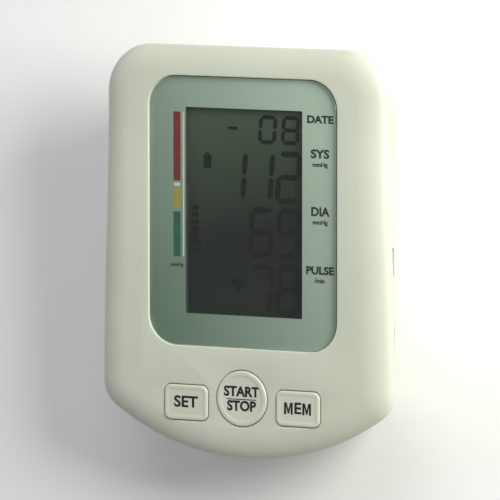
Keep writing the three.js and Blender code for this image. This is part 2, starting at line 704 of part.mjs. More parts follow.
// Power: cells, contacts and door, in the stand frame
function addPower() {
  const plateOut = bay.halfWidth - gap;
  const plateIn = plateOut - contact.thick;
  const firstY = (bay.low + bay.high) / 2 - (cell.pitch * (cell.count - 1)) / 2;
  for (let i = 0; i < cell.count; i += 1) {
    const way = i % 2 === 0 ? 1 : -1;     // neighbours lie head to tail
    const y = firstY + i * cell.pitch;
    const tip = plateIn - gap;
    const bottom = tip - cell.nubLength - cell.length;
    const jacket = turned([
      [0, 0], [cell.radius - 0.6, 0], [cell.radius, 0.6], [cell.radius, cell.length - 0.8],
      [cell.radius - 0.8, cell.length], [cell.nub, cell.length], [cell.nub, cell.length + cell.nubLength],
      [0, cell.length + cell.nubLength],
    ], 20);
    jacket.rotateY(Math.PI / 2).translate(bottom, 0, 0);
    if (way < 0) jacket.rotateZ(Math.PI);
    add(stand, `cell_${i + 1}`, jacket.translate(0, y, cell.z), cellJacket);

    const points = [];
    const springSteps = 32;
    const reach = plateIn - gap - spring.wire + bottom - gap - spring.wire;
    for (let s = 0; s <= springSteps; s += 1) {
      const share = s / springSteps;
      const angle = 2 * Math.PI * spring.turns * share;
      const r = THREE.MathUtils.lerp(spring.large, spring.small, share);
      const x = -plateIn + gap + spring.wire + reach * share;
      points.push([way * x, y + r * Math.cos(angle), cell.z + r * Math.sin(angle)]);
    }
    add(stand, `cell_spring_${i + 1}`, alongPath(points, spring.wire, 0, 6, 32), steel);
  }

  const plates = [
    ['contact_bridge_right_1', 1, firstY + cell.pitch / 2, contact.bridge],
    ['contact_bridge_right_2', 1, firstY + 2.5 * cell.pitch, contact.bridge],
    ['contact_bridge_left', -1, firstY + 1.5 * cell.pitch, contact.bridge],
    ['contact_negative', -1, firstY, contact.single],
    ['contact_positive', -1, firstY + 3 * cell.pitch, contact.single],
  ];
  for (const [name, way, y, width] of plates) {
    const [x0, x1] = way > 0 ? [plateIn, plateOut] : [-plateOut, -plateIn];
    const [z0, z1] = [cell.z - contact.height / 2, cell.z + contact.height / 2];
    add(stand, name, block(x0, x1, y - width / 2, y + width / 2, z0, z1), steel);
  }

  const half = bay.halfWidth + door.side;
  const low = bay.low - door.side;
  const hingeZ = baseHeight + door.thick / 2;
  let lid = join(
    solid(block(-half, half, low, door.hinge, baseHeight, baseHeight + door.thick)),
    solid(rodAlongX(door.hinge, hingeZ, door.thick / 2, -half, half, 16)),
    solid(block(-door.latch / 2, door.latch / 2, low - 1.4, low + 1, baseHeight + 0.8, baseHeight + 1.8)),
  );
  for (const x of [-door.tabX, door.tabX]) {
    const tab = block(
      x - door.tab / 2, x + door.tab / 2, door.hinge - 1, door.hinge + door.tabReach,
      hingeZ + 0.1, hingeZ + 1.2,
    );
    lid = join(lid, solid(tab));
  }
  add(stand, 'battery_door', geometryOf(lid), shellPlastic);

  foot.places.forEach(([x, y], i) => {
    const pad = turned([
      [0, 0], [foot.radius - 0.5, 0], [foot.radius, 0.5], [foot.radius, baseHeight + foot.sunk],
      [0, baseHeight + foot.sunk],
    ], 20);
    add(stand, `foot_${i + 1}`, pad.translate(x, y, 0), rubberGrey);
  });
}

addCovers();
addDisplay();
addKeys();
addBoard();
addCaseScrews();
addSockets();
addAirPath();
addPower();

// The origin is the middle of the footprint, on the table
stand.updateMatrixWorld(true);
const extent = new THREE.Box3().setFromObject(stand, true);
stand.position.set(-(extent.min.x + extent.max.x) / 2, -(extent.min.y + extent.max.y) / 2, -extent.min.z);

export default monitor;
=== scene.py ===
import json
from math import atan2, cos, pi, radians, sin, sqrt

import bpy
from mathutils import Matrix, Vector

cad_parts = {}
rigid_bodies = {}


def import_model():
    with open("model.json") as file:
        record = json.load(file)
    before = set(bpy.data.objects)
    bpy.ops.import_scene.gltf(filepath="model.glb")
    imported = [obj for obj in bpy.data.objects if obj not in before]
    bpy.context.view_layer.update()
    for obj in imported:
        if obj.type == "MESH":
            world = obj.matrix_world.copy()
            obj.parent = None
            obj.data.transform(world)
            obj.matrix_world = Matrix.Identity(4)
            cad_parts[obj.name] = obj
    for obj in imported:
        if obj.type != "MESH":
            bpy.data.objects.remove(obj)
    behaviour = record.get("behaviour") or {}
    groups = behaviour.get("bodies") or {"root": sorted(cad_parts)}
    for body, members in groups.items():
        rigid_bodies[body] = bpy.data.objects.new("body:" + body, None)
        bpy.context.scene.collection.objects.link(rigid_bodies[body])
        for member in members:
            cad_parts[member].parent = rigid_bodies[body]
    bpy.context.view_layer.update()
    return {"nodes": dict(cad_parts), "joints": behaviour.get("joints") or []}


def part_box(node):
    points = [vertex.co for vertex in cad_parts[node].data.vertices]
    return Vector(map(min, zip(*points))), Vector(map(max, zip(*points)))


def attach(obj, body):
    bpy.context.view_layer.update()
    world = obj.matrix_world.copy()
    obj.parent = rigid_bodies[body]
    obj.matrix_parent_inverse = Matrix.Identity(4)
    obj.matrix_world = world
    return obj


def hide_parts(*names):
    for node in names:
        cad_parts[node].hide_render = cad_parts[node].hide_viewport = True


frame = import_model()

nodes = frame["nodes"]
scene = bpy.context.scene
mm = 0.001
gap = 0.3  # clearance between neighbouring pieces, in mm as the pieces' other sizes are

print("frame loaded:", len(nodes), "nodes")


# The face frame has the flat front face as its xy plane, y towards the top of the display and z out of the
# face. The stand frame has the table at z = 0. Both count in mm, and their matrices also turn mm into metres.

pane = {
    "width": 71, "height": 91.2, "corner": 10, "y": 13.9, "top": -0.2, "thick": 1.2,
    "lowBevel": 0.15, "topRound": 0.35,
}
keyJoint = next(joint for joint in frame["joints"] if joint["child"] == "start_stop_key")
faceTilt = atan2(keyJoint["axis"][1], -keyJoint["axis"][2])
faceTurn = Matrix.Rotation(faceTilt, 4, "X")
paneLow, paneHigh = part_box("display_window")
paneMiddle = faceTurn @ Vector((0, pane["y"], pane["top"] - pane["thick"] / 2)) * mm
faceFrame = Matrix.Translation((paneLow + paneHigh) / 2 - paneMiddle) @ faceTurn @ Matrix.Scale(mm, 4)
faceToStand = Matrix.Scale(1 / mm, 4) @ faceFrame
standShift = faceToStand.translation.y  # the case's middle in the stand frame
standFrame = Matrix.Scale(mm, 4)
standPlace = standFrame @ Matrix.Translation((0, standShift, 0))


# makers of colours and of shader nodes

def hexColour(text):
    # #RRGGBB in sRGB to the linear values that shaders take
    parts = [int(text[i:i + 2], 16) / 255 for i in (1, 3, 5)]
    return tuple(p / 12.92 if p <= 0.04045 else ((p + 0.055) / 1.055) ** 2.4 for p in parts) + (1.0,)


def addNode(tree, kind, inputs=None, **settings):
    # inputs are values or the sockets that feed them
    node = tree.nodes.new(kind)
    for name, value in settings.items():
        setattr(node, name, value)
    for key, value in (inputs or {}).items():
        if isinstance(value, bpy.types.NodeSocket):
            tree.links.new(value, node.inputs[key])
        else:
            node.inputs[key].default_value = value
    return node


def newMaterial(name):
    material = bpy.data.materials.new(name)
    material.use_nodes = True
    tree = material.node_tree
    tree.nodes.clear()
    output = addNode(tree, "ShaderNodeOutputMaterial")
    return material, tree, output


def grain(tree, size, detail, stretch):
    # noise whose blotches are about size mm across, on the piece's own coordinates
    coordinates = addNode(tree, "ShaderNodeTexCoord").outputs["Object"]
    mapping = addNode(tree, "ShaderNodeMapping", {"Vector": coordinates, "Scale": stretch})
    noise = addNode(tree, "ShaderNodeTexNoise", {
        "Vector": mapping.outputs["Vector"], "Scale": 1 / (size * mm), "Detail": detail,
    })
    return noise.outputs["Fac"]


# how much of the noise's range runs through a finish's two colours, and through its roughness
noiseSpan = {"blotch": (0.35, 0.65), "grain": (0.3, 0.7)}


def surface(name, look):
    # One maker for every finish that is a coat of colour over a grained surface. look holds the finish's
    # two colours and the size of its blotches in mm, its roughness range, and its grain's size and depth.
    material, tree, output = newMaterial(name)
    stretch = look.get("stretch", (1, 1, 1))
    low, high = noiseSpan["blotch"]
    blotch = addNode(tree, "ShaderNodeMapRange", {
        "Value": grain(tree, look["blotch"], 3.0, stretch), "From Min": low, "From Max": high,
    })
    # a colour mix has its share at socket 0, its colours at 6 and 7 and its result at 2
    mix = addNode(tree, "ShaderNodeMix", {
        0: blotch.outputs["Result"], 6: hexColour(look["colour"]), 7: hexColour(look["second"]),
    }, data_type="RGBA")
    if "paintedLight" in look:
        # painted light and shade: the tint drifts along one direction, from start to end in mm
        paintedLight = look["paintedLight"]
        coordinates = addNode(tree, "ShaderNodeTexCoord").outputs["Object"]
        ends = {0: coordinates, 1: paintedLight["toward"]}
        along = addNode(tree, "ShaderNodeVectorMath", ends, operation="DOT_PRODUCT")
        share = addNode(tree, "ShaderNodeMapRange", {
            "Value": along.outputs["Value"], "From Min": paintedLight["start"] * mm, "From Max": paintedLight["end"] * mm,
        })
        mix = addNode(tree, "ShaderNodeMix", {
            0: share.outputs["Result"], 6: mix.outputs[2], 7: hexColour(paintedLight["colour"]),
        }, data_type="RGBA")
    fine = grain(tree, look["grain"], 2.0, stretch)
    low, high = noiseSpan["grain"]
    dull, duller = look["roughness"]
    roughness = addNode(tree, "ShaderNodeMapRange", {
        "Value": fine, "From Min": low, "From Max": high, "To Min": dull, "To Max": duller,
    })
    bump = addNode(tree, "ShaderNodeBump", {"Height": fine, "Distance": look["depth"] * mm})
    shader = addNode(tree, "ShaderNodeBsdfPrincipled", {
        "Base Color": mix.outputs[2],
        "Metallic": look.get("metallic", 0.0),
        "Roughness": roughness.outputs["Result"],
        "IOR": look.get("ior", 1.5),
        "Coat Weight": look.get("coat", 0.0),
        "Coat Roughness": 0.1,
        "Specular IOR Level": look.get("specular", 0.5),
        "Normal": bump.outputs["Normal"],
    })
    tree.links.new(shader.outputs["BSDF"], output.inputs["Surface"])
    return material


# ABS with a fine spark-eroded texture: soft highlights, a slight tooth and a little drift in its tint.
# The real tooth is about 0.1 mm, drawn at 0.45 mm so that it shows.
shellAbs = surface("spark-eroded ABS", {
    "colour": "#CACEBF", "second": "#C4C9B8", "blotch": 45, "roughness": (0.36, 0.5),
    "grain": 0.45, "depth": 0.006, "ior": 1.54,
})
# the same ABS from a polished mould, smoother where fingers press
keyAbs = surface("polished ABS", {
    "colour": "#CBCFC0", "second": "#C6CBBB", "blotch": 20, "roughness": (0.26, 0.36),
    "grain": 0.7, "depth": 0.003, "ior": 1.54,
})
# screen-printed film: grey green with a faint mottle, with painted light and shade over it, deep at the lower
# left and pale at the upper right
maskInk = surface("grey green print with painted light", {
    "colour": "#64786B", "second": "#5E7265", "blotch": 26, "roughness": (0.3, 0.38),
    "grain": 1.2, "depth": 0.002, "ior": 1.5,
    # painted light and shade: the print is drawn deep at the lower left and pale at the upper right
    "paintedLight": {"toward": (0.86, 0.5, 0), "start": -40, "end": 44, "colour": "#B4BEB3"},
})
# screen inks: thin, even coats with a soft shine and almost no tooth
darkInk = surface("dark screen ink", {
    "colour": "#141A18", "second": "#1B2220", "blotch": 4, "roughness": (0.34, 0.46),
    "grain": 0.5, "depth": 0.002,
})
paleInk = surface("pale screen ink", {
    "colour": "#D8D9CB", "second": "#CFD1C3", "blotch": 4, "roughness": (0.34, 0.46),
    "grain": 0.5, "depth": 0.002,
})
redInk = surface("red screen ink", {
    "colour": "#7E2320", "second": "#70201E", "blotch": 5, "roughness": (0.32, 0.42),
    "grain": 0.5, "depth": 0.002,
})
yellowInk = surface("yellow screen ink", {
    "colour": "#A89C3C", "second": "#9B9038", "blotch": 5, "roughness": (0.32, 0.42),
    "grain": 0.5, "depth": 0.002,
})
greenInk = surface("green screen ink", {
    "colour": "#22604A", "second": "#1D5642", "blotch": 5, "roughness": (0.32, 0.42),
    "grain": 0.5, "depth": 0.002,
})
# dark polariser film over the liquid crystal: smooth, nearly black with an olive cast, with a painted
# highlight that lightens it towards the top
polariser = surface("display polariser", {
    "colour": "#1D231D", "second": "#191E1A", "blotch": 34, "roughness": (0.2, 0.26),
    "grain": 1.5, "depth": 0.001, "ior": 1.49, "specular": 0.2,
    # painted highlight: the film is drawn lighter towards the top
    "paintedLight": {"toward": (-0.2, 0.98, 0), "start": 8, "end": 54, "colour": "#4C5847"},
})
# liquid crystal that is switched on: a little darker than the film around it
segmentInk = surface("switched segments", {
    "colour": "#080B09", "second": "#0B0F0C", "blotch": 6, "roughness": (0.24, 0.3),
    "grain": 1.0, "depth": 0.001, "specular": 0.2,
})
# moulded ABS with colour through it: even, with a broad low shine
darkAbs = surface("black ABS", {
    "colour": "#222524", "second": "#2A2D2C", "blotch": 9, "roughness": (0.38, 0.52),
    "grain": 0.5, "depth": 0.008,
})
whiteAbs = surface("natural white ABS", {
    "colour": "#E2E3DB", "second": "#D9DBD1", "blotch": 12, "roughness": (0.36, 0.5),
    "grain": 0.5, "depth": 0.006,
})
# moulded rubber: dull, with a dusty bloom
footRubber = surface("moulded rubber", {
    "colour": "#3C3F3E", "second": "#4A4D4B", "blotch": 3, "roughness": (0.7, 0.9),
    "grain": 0.4, "depth": 0.02,
})
# extruded silicone: milky, with a soft waxy shine
hoseSilicone = surface("silicone hose", {
    "colour": "#D9DBD4", "second": "#CFD2CA", "blotch": 6, "roughness": (0.4, 0.55),
    "grain": 0.6, "depth": 0.006, "ior": 1.41,
})
# cut open-cell foam: pitted and quite dull; its cells are drawn at their real size, about 0.8 mm
openFoam = surface("open-cell foam", {
    "colour": "#1D1E1F", "second": "#2A2B2C", "blotch": 1.5, "roughness": (0.9, 1.0),
    "grain": 0.8, "depth": 0.12,
})
# sprayed solder mask over the weave of glass cloth: a wet green gloss with faint lines
boardMask = surface("solder mask", {
    "colour": "#1E5A37", "second": "#17492C", "blotch": 3, "roughness": (0.3, 0.42),
    "grain": 0.9, "depth": 0.02, "stretch": (1, 4, 1), "coat": 0.3,
})
# nickel plate over pressed steel, with the drawn lines of the strip it was cut from
nickelPlate = surface("nickel plated steel", {
    "colour": "#C9C7C0", "second": "#B9B8B2", "blotch": 5, "roughness": (0.2, 0.34), "metallic": 1.0,
    "grain": 0.5, "depth": 0.004, "stretch": (1, 6, 1),
})
# thin gold over nickel: warm, and smoother than the steel beside it
goldPlate = surface("gold plated contact", {
    "colour": "#D9B45C", "second": "#CDA64E", "blotch": 2, "roughness": (0.22, 0.3), "metallic": 1.0,
    "grain": 0.4, "depth": 0.002,
})
# varnished print on a cell's shrunk jacket: glossy, with barely any tooth
cellFoil = surface("printed cell jacket", {
    "colour": "#24405E", "second": "#203A56", "blotch": 14, "roughness": (0.24, 0.32),
    "grain": 1.0, "depth": 0.003, "coat": 0.4,
})
# metallic ink on the same jacket
cellBand = surface("copper coloured jacket band", {
    "colour": "#B07A4A", "second": "#A67244", "blotch": 14, "roughness": (0.26, 0.34), "metallic": 0.8,
    "grain": 1.0, "depth": 0.003,
})
# silvered film: a cool grey satin
labelFilm = surface("silvered polyester label", {
    "colour": "#C7C9C6", "second": "#BFC1BE", "blotch": 9, "roughness": (0.34, 0.44), "metallic": 0.3,
    "grain": 0.6, "depth": 0.003,
})


def clearAcrylic():
    # polished PMMA with a coat that takes off most of its glare: clear, with faint sharp reflections. Light
    # from the lamps and the room passes straight through, so that the print below it is lit once.
    material, tree, output = newMaterial("polished acrylic")
    tint = hexColour("#F6FAF7")
    shader = addNode(tree, "ShaderNodeBsdfPrincipled", {
        "Base Color": tint, "Roughness": 0.03, "IOR": 1.49, "Transmission Weight": 1.0,
        "Specular IOR Level": 0.22,
    })
    clear = addNode(tree, "ShaderNodeBsdfTransparent", {"Color": tint})
    path = addNode(tree, "ShaderNodeLightPath")
    scattered = addNode(tree, "ShaderNodeMixShader", {
        0: path.outputs["Is Diffuse Ray"], 1: shader.outputs["BSDF"], 2: clear.outputs["BSDF"],
    })
    mix = addNode(tree, "ShaderNodeMixShader", {
        0: path.outputs["Is Shadow Ray"], 1: scattered.outputs["Shader"], 2: clear.outputs["BSDF"],
    })
    tree.links.new(mix.outputs["Shader"], output.inputs["Surface"])
    return material


acrylic = clearAcrylic()
print("finishes made")


# outlines: each is a function of how far it grows outwards, and gives points anticlockwise

def arcPoints(x, y, radius, start, end, steps):
    turns = [start + (end - start) * i / steps for i in range(1, steps + 1)]
    return [(x + radius * cos(turn), y + radius * sin(turn)) for turn in turns]


def caseOutline(shape, inset):
    # rounded top corners, gently flared sides and a chin that is one large arc
    chinY = shape["low"] + shape["chin"]
    upperX, upperY = shape["halfTop"] - shape["cornerTop"], shape["top"] - shape["cornerTop"]
    lowerX = shape["halfLow"] - shape["cornerLow"]
    lowerY = chinY - sqrt((shape["chin"] - shape["cornerLow"]) ** 2 - lowerX ** 2)
    meet = atan2(lowerY - chinY, lowerX)
    sideSteps, topSteps = 24, 8
    side = []
    for i in range(1, sideSteps + 1):
        share = i / sideSteps
        ease = (1 - cos(pi * share)) / 2
        half = shape["halfLow"] + (shape["halfTop"] - shape["halfLow"]) * ease - inset
        side.append((half, lowerY + (upperY - lowerY) * share))
    right = arcPoints(0, chinY, shape["chin"] - inset, -pi / 2, meet, 24)
    right += arcPoints(lowerX, lowerY, shape["cornerLow"] - inset, meet, 0, 14)
    right += side
    right += arcPoints(upperX, upperY, shape["cornerTop"] - inset, 0, pi / 2, 22)
    right += [(upperX * (1 - i / topSteps), shape["top"] - inset) for i in range(1, topSteps)]
    left = [(-x, y) for x, y in reversed(right)]
    return [(0, shape["low"] + inset)] + right + [(0, shape["top"] - inset)] + left


def roundedBox(width, height, corner, x=0, y=0, steps=12):
    def outline(grow=0):
        points = []
        for quarter, (sx, sy) in enumerate(((1, 1), (-1, 1), (-1, -1), (1, -1))):
            middle = (x + sx * (width / 2 - corner), y + sy * (height / 2 - corner))
            start = quarter * pi / 2
            first = (middle[0] + (corner + grow) * cos(start), middle[1] + (corner + grow) * sin(start))
            points += [first] + arcPoints(*middle, corner + grow, start, start + pi / 2, steps)
        return points
    return outline


def circle(radius, x=0, y=0, steps=64):
    def outline(grow=0):
        return arcPoints(x, y, radius + grow, 0, 2 * pi, steps)
    return outline


# profiles: pairs of how far the outline grows and its height

def edge(size, top, sign, steps=6):
    # a quarter round up to height top: sign +1 flares a cutter's mouth, -1 rounds off a solid
    turns = [pi / 2 * i / steps for i in range(steps + 1)]
    return [(sign * size * (1 - cos(turn)), top - size + size * sin(turn)) for turn in turns]


def holeProfile(low, top, size):
    # a cutter with a rounded mouth, carried on 2 mm past the surface
    return [(0, low)] + edge(size, top, 1) + [(size, top + 2)]


# meshes, made in mm and put in place by a matrix

def meshFrom(points, faces, name):
    mesh = bpy.data.meshes.new(name)
    mesh.from_pydata([tuple(p) for p in points], [], faces)
    mesh.validate()
    return mesh


def ringMesh(rings, name):
    # a skin through rings of equal count, lowest first, shut at both ends
    count = len(rings[0])
    last = (len(rings) - 1) * count
    faces = []
    for r in range(len(rings) - 1):
        for i in range(count):
            j = (i + 1) % count
            a, b = r * count + i, r * count + j
            faces.append((a, b, b + count, a + count))
    faces.append(tuple(reversed(range(count))))
    faces.append(tuple(range(last, last + count)))
    return meshFrom([p for ring in rings for p in ring], faces, name)


def stacked(outline, profile):
    return [[Vector((x, y, z)) for x, y in outline(grow)] for grow, z in profile]


def prism(name, outline, profile, place=Matrix()):
    # an outline carried through a profile of (outwards, height) pairs
    mesh = ringMesh(stacked(outline, profile), name)
    mesh.transform(place)
    return mesh


def turnedMesh(name, profile, place, steps=48):
    # a profile of (radius, height) pairs turned about z; ends on the axis or closes on itself
    points, faces, rows = [], [], []
    for radius, height in profile:
        if radius < 1e-6:
            rows.append([len(points)] * steps)
            points.append((0, 0, height))
            continue
        rows.append(list(range(len(points), len(points) + steps)))
        points += [(radius * cos(2 * pi * i / steps), radius * sin(2 * pi * i / steps), height)
                   for i in range(steps)]
    if profile[0] == profile[-1]:
        rows[-1] = rows[0]
        points = points[:-steps]
    for low, high in zip(rows, rows[1:]):
        for i in range(steps):
            j = (i + 1) % steps
            corners = [low[i], low[j], high[j], high[i]]
            face = [c for k, c in enumerate(corners) if c not in corners[:k]]
            if len(face) > 2:
                faces.append(face)
    mesh = meshFrom(points, faces, name)
    mesh.transform(place)
    return mesh


def joined(name, meshes):
    points, faces = [], []
    for mesh in meshes:
        start = len(points)
        points += [v.co.copy() for v in mesh.vertices]
        faces += [tuple(start + k for k in polygon.vertices) for polygon in mesh.polygons]
        bpy.data.meshes.remove(mesh)
    return meshFrom(points, faces, name)


def facedOut(mesh):
    # turns a shut mesh so that its volume is positive
    volume = 0
    for polygon in mesh.polygons:
        corners = [mesh.vertices[k].co for k in polygon.vertices]
        for k in range(1, len(corners) - 1):
            volume += corners[0].dot(corners[k].cross(corners[k + 1]))
    if volume < 0:
        mesh.flip_normals()
    return mesh


def smooth(mesh, angle=32):
    mesh.shade_smooth()
    mesh.set_sharp_from_angle(angle=radians(angle))
    return mesh


def makeObject(mesh, name, material=None):
    piece = bpy.data.objects.new(name, mesh)
    scene.collection.objects.link(piece)
    if material:
        mesh.materials.append(material)
    return piece


def applied(piece):
    # the object's mesh with its modifiers worked out, as a plain mesh
    depsgraph = bpy.context.evaluated_depsgraph_get()
    result = bpy.data.meshes.new_from_object(piece.evaluated_get(depsgraph))
    piece.modifiers.clear()
    old = piece.data
    piece.data = result
    bpy.data.meshes.remove(old)
    return piece


def taken(piece):
    # the object's mesh on its own, with the object gone
    mesh = piece.data.copy()
    bpy.data.objects.remove(piece)
    return mesh


def combine(piece, meshes, operation="DIFFERENCE"):
    # takes all the meshes away from the piece, or adds them to it
    holder = bpy.data.collections.new("cutters")
    scene.collection.children.link(holder)
    for mesh in meshes:
        tool = bpy.data.objects.new("cutter", facedOut(mesh))
        holder.objects.link(tool)
    step = piece.modifiers.new("combine", "BOOLEAN")
    step.operation = operation
    step.operand_type = "COLLECTION"
    step.collection = holder
    step.solver = "EXACT"
    applied(piece)
    for tool in list(holder.objects):
        bpy.data.objects.remove(tool)
    bpy.data.collections.remove(holder)
    return piece


def put(piece, body, slot, *replaced):
    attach(piece, body)
    if replaced:
        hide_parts(*replaced)
    return piece


print("helpers ready")


# camera, lamps and floor

# angles from the face's own upright in degrees, lens and aim in mm, distances in metres
view = {
    "turn": 27.5, "lift": 5.5, "lens": 477, "aim": (0, 1, -6),
    "distance": 2.24, "near": 0.1, "far": 20,
}
turn, lift = radians(view["turn"]), radians(view["lift"])
aim = faceFrame @ Vector(view["aim"])
toCamera = faceTurn.to_3x3() @ Vector((sin(turn) * cos(lift), sin(lift), cos(turn) * cos(lift)))
up = faceTurn.to_3x3() @ Vector((0, 1, 0))
right = up.cross(toCamera).normalized()
cameraTurn = Matrix((right, toCamera.cross(right), toCamera)).transposed()
cameraData = bpy.data.cameras.new("camera")
cameraData.lens = view["lens"]
cameraData.clip_start, cameraData.clip_end = view["near"], view["far"]
camera = bpy.data.objects.new("camera", cameraData)
camera.matrix_world = Matrix.Translation(aim + toCamera * view["distance"]) @ cameraTurn.to_4x4()
scene.collection.objects.link(camera)
scene.camera = camera

# where each lamp stands in metres, its width, its power in watts and its tint; all shine at one spot
lampAim = Vector((0, 0, 0.03))
lamps = {
    "keyLamp": {"place": (0.58, 0.22, 0.36), "size": 0.4, "power": 6.0, "tint": "#FFFDF6"},
    "fillLamp": {"place": (-0.85, 0.45, 0.6), "size": 0.8, "power": 2.6, "tint": "#F6F9FF"},
    "topLamp": {"place": (0.1, 0.85, 0.9), "size": 0.9, "power": 3.2, "tint": "#FFFFFF"},
}
for name, lamp in lamps.items():
    lampData = bpy.data.lights.new(name, "AREA")
    lampData.shape = "DISK"
    lampData.size = lamp["size"]
    lampData.energy = lamp["power"]
    lampData.color = hexColour(lamp["tint"])[:3]
    lampObject = bpy.data.objects.new(name, lampData)
    place = Vector(lamp["place"])
    aimTurn = (lampAim - place).to_track_quat("-Z", "Y")
    lampObject.matrix_world = Matrix.Translation(place) @ aimTurn.to_matrix().to_4x4()
    scene.collection.objects.link(lampObject)

studio = {"light": "#F4F6F8", "strength": 0.28, "half": 3}
world = bpy.data.worlds.new("studio")
scene.world = world
world.use_nodes = True
sky = world.node_tree.nodes["Background"]
sky.inputs["Color"].default_value = hexColour(studio["light"])
sky.inputs["Strength"].default_value = studio["strength"]
scene.view_settings.view_transform = "Standard"

# matt paint, smooth enough to show no texture
floorPaint = surface("matt studio floor", {
    "colour": "#F8F8F7", "second": "#F5F5F4", "blotch": 300, "roughness": (0.75, 0.85),
    "grain": 2, "depth": 0.01,
})
floorCorners = [(x * studio["half"], y * studio["half"], 0) for x, y in ((-1, -1), (1, -1), (1, 1), (-1, 1))]
floorMesh = meshFrom(floorCorners, [(0, 1, 2, 3)], "studioFloor")
makeObject(floorMesh, "studioFloor", floorPaint)
print("camera, lamps and floor placed")


# front shell: drop, land and parting are depths below the flat face, of where the rim's round starts, of its
# widest line and of its lower edge, and taper is how far the rim leans in below the widest line
shell = {
    "outline": {
        "top": 70, "low": -70, "halfTop": 53, "halfLow": 55, "cornerTop": 16.5, "cornerLow": 11, "chin": 88,
    },
    "round": 10, "drop": 4, "land": 5.5, "ease": 1.1, "parting": 12, "taper": radians(30),
    "wall": 2.2, "thick": 2.4, "lip": 0.3,
}
windowPocket = {"depth": 2.3, "pan": 3.8, "margin": 2.4, "lip": 0.35}
sight = {"width": 44.4, "height": 70.1, "y": 14.05, "margin": 1, "corner": 0.8}
startCap = {"y": -49, "radius": 9.5}
sideCap = {"x": 21.3, "y": -51.4, "width": 16.5, "height": 12, "corner": 2.4}
capStyle = {
    "rise": 0.4, "gap": 0.2, "round": 0.55, "flange": 1.1, "flangeThick": 1.0, "flangeTop": -2.7,
    "stem": 2.2, "stemEnd": -6.6, "slotDepth": 6, "slotLip": 0.5,
}
# the posts that the screws go into: radius, the post's end, and its bore's radius and end
boardPost = {"radius": 2.6, "end": -11.7, "bore": 1.2, "boreEnd": -13, "boreTop": -5}
casePost = {"radius": 3.5, "end": -12, "bore": 1.6, "boreEnd": -13, "boreTop": -5}
boardScrewSpots = [(40, 12), (-40, 8), (40, -14), (-40, -25)]
caseScrewSpots = [(41, 52), (-41, 52), (42, -38), (-42, -38)]
partingInset = (shell["parting"] - shell["land"]) * sin(shell["taper"]) / cos(shell["taper"])


def bodyOutline(grow):
    return caseOutline(shell["outline"], -grow)


def frontProfile():
    # from the parting line up to the edge of the flat face, as (outwards, height) pairs
    lip, ease, land = shell["lip"], shell["ease"], -shell["land"]
    profile = [
        (-partingInset - lip, -shell["parting"]), (-partingInset - lip * 0.3, -shell["parting"] + lip * 0.3),
        (-partingInset + lip * 0.58, -shell["parting"] + lip),
    ]
    # the widest line is eased by a quadratic curve, not sharp
    start = (-ease * sin(shell["taper"]), land - ease * cos(shell["taper"]))
    easeSteps, roundSteps = 4, 16
    for i in range(easeSteps + 1):
        share = i / easeSteps
        a, b, c = (1 - share) ** 2, 2 * share * (1 - share), share ** 2
        profile.append((a * start[0], a * start[1] + b * land + c * (land + ease)))
    for i in range(1, roundSteps + 1):
        turn = pi / 2 * i / roundSteps
        profile.append((-shell["round"] * (1 - cos(turn)), -shell["drop"] * (1 - sin(turn))))
    return profile


def frontHollow():
    # the inside of the shell, less the window's pan and the screw posts
    wall = shell["wall"]
    inner = [
        (-partingInset - wall - 0.6, -shell["parting"] - 1), (-wall, -shell["land"]),
        (-wall - 1, -shell["drop"] + 0.4), (-shell["round"] / 2, -shell["thick"]),
    ]
    hollow = makeObject(facedOut(prism("hollow", bodyOutline, inner)), "hollow")
    margin = windowPocket["margin"]
    pan = roundedBox(
        pane["width"] + 2 * margin, pane["height"] + 2 * margin, pane["corner"] + margin, 0, pane["y"], 6,
    )
    kept = [prism("pan", pan, [(0, -windowPocket["pan"]), (0, 1)])]
    for x, y in caseScrewSpots:
        kept.append(prism("post", circle(casePost["radius"], x, y, 24), [(0, casePost["end"]), (0, 1)]))
    for x, y in boardScrewSpots:
        kept.append(prism("post", circle(boardPost["radius"], x, y, 20), [(0, boardPost["end"]), (0, 1)]))
    combine(hollow, kept)
    return taken(hollow)


def makeFrontShell():
    piece = makeObject(facedOut(prism("frontShell", bodyOutline, frontProfile())), "frontShell", shellAbs)
    seat = roundedBox(
        pane["width"] + 2 * gap, pane["height"] + 2 * gap, pane["corner"] + gap, 0, pane["y"], 16,
    )
    wide, high = sight["width"] + sight["margin"], sight["height"] + sight["margin"]
    opening = roundedBox(wide, high, sight["corner"], 0, sight["y"], 4)
    spare = capStyle["gap"]
    slotProfile = holeProfile(-capStyle["slotDepth"], 0, capStyle["slotLip"])
    cutters = [
        prism("seat", seat, holeProfile(-windowPocket["depth"], 0, windowPocket["lip"])),
        prism("sight", opening, [(0, -windowPocket["pan"] - 1), (0, 1)]),
        prism("slot", circle(startCap["radius"] + spare, 0, startCap["y"], 96), slotProfile),
    ]
    for x in (-sideCap["x"], sideCap["x"]):
        slot = roundedBox(
            sideCap["width"] + 2 * spare, sideCap["height"] + 2 * spare, sideCap["corner"] + spare,
            x, sideCap["y"], 12,
        )
        cutters.append(prism("slot", slot, slotProfile))
    for post, spots in ((casePost, caseScrewSpots), (boardPost, boardScrewSpots)):
        for x, y in spots:
            bore = [(0, post["boreEnd"]), (0, post["boreTop"])]
            cutters.append(prism("bore", circle(post["bore"], x, y, 20), bore))
    cutters.append(frontHollow())
    combine(piece, cutters)
    piece.data.transform(faceFrame)
    smooth(piece.data)
    return put(piece, "root", "shell", "front_cover")


makeFrontShell()
print("front shell made")


# window and its print

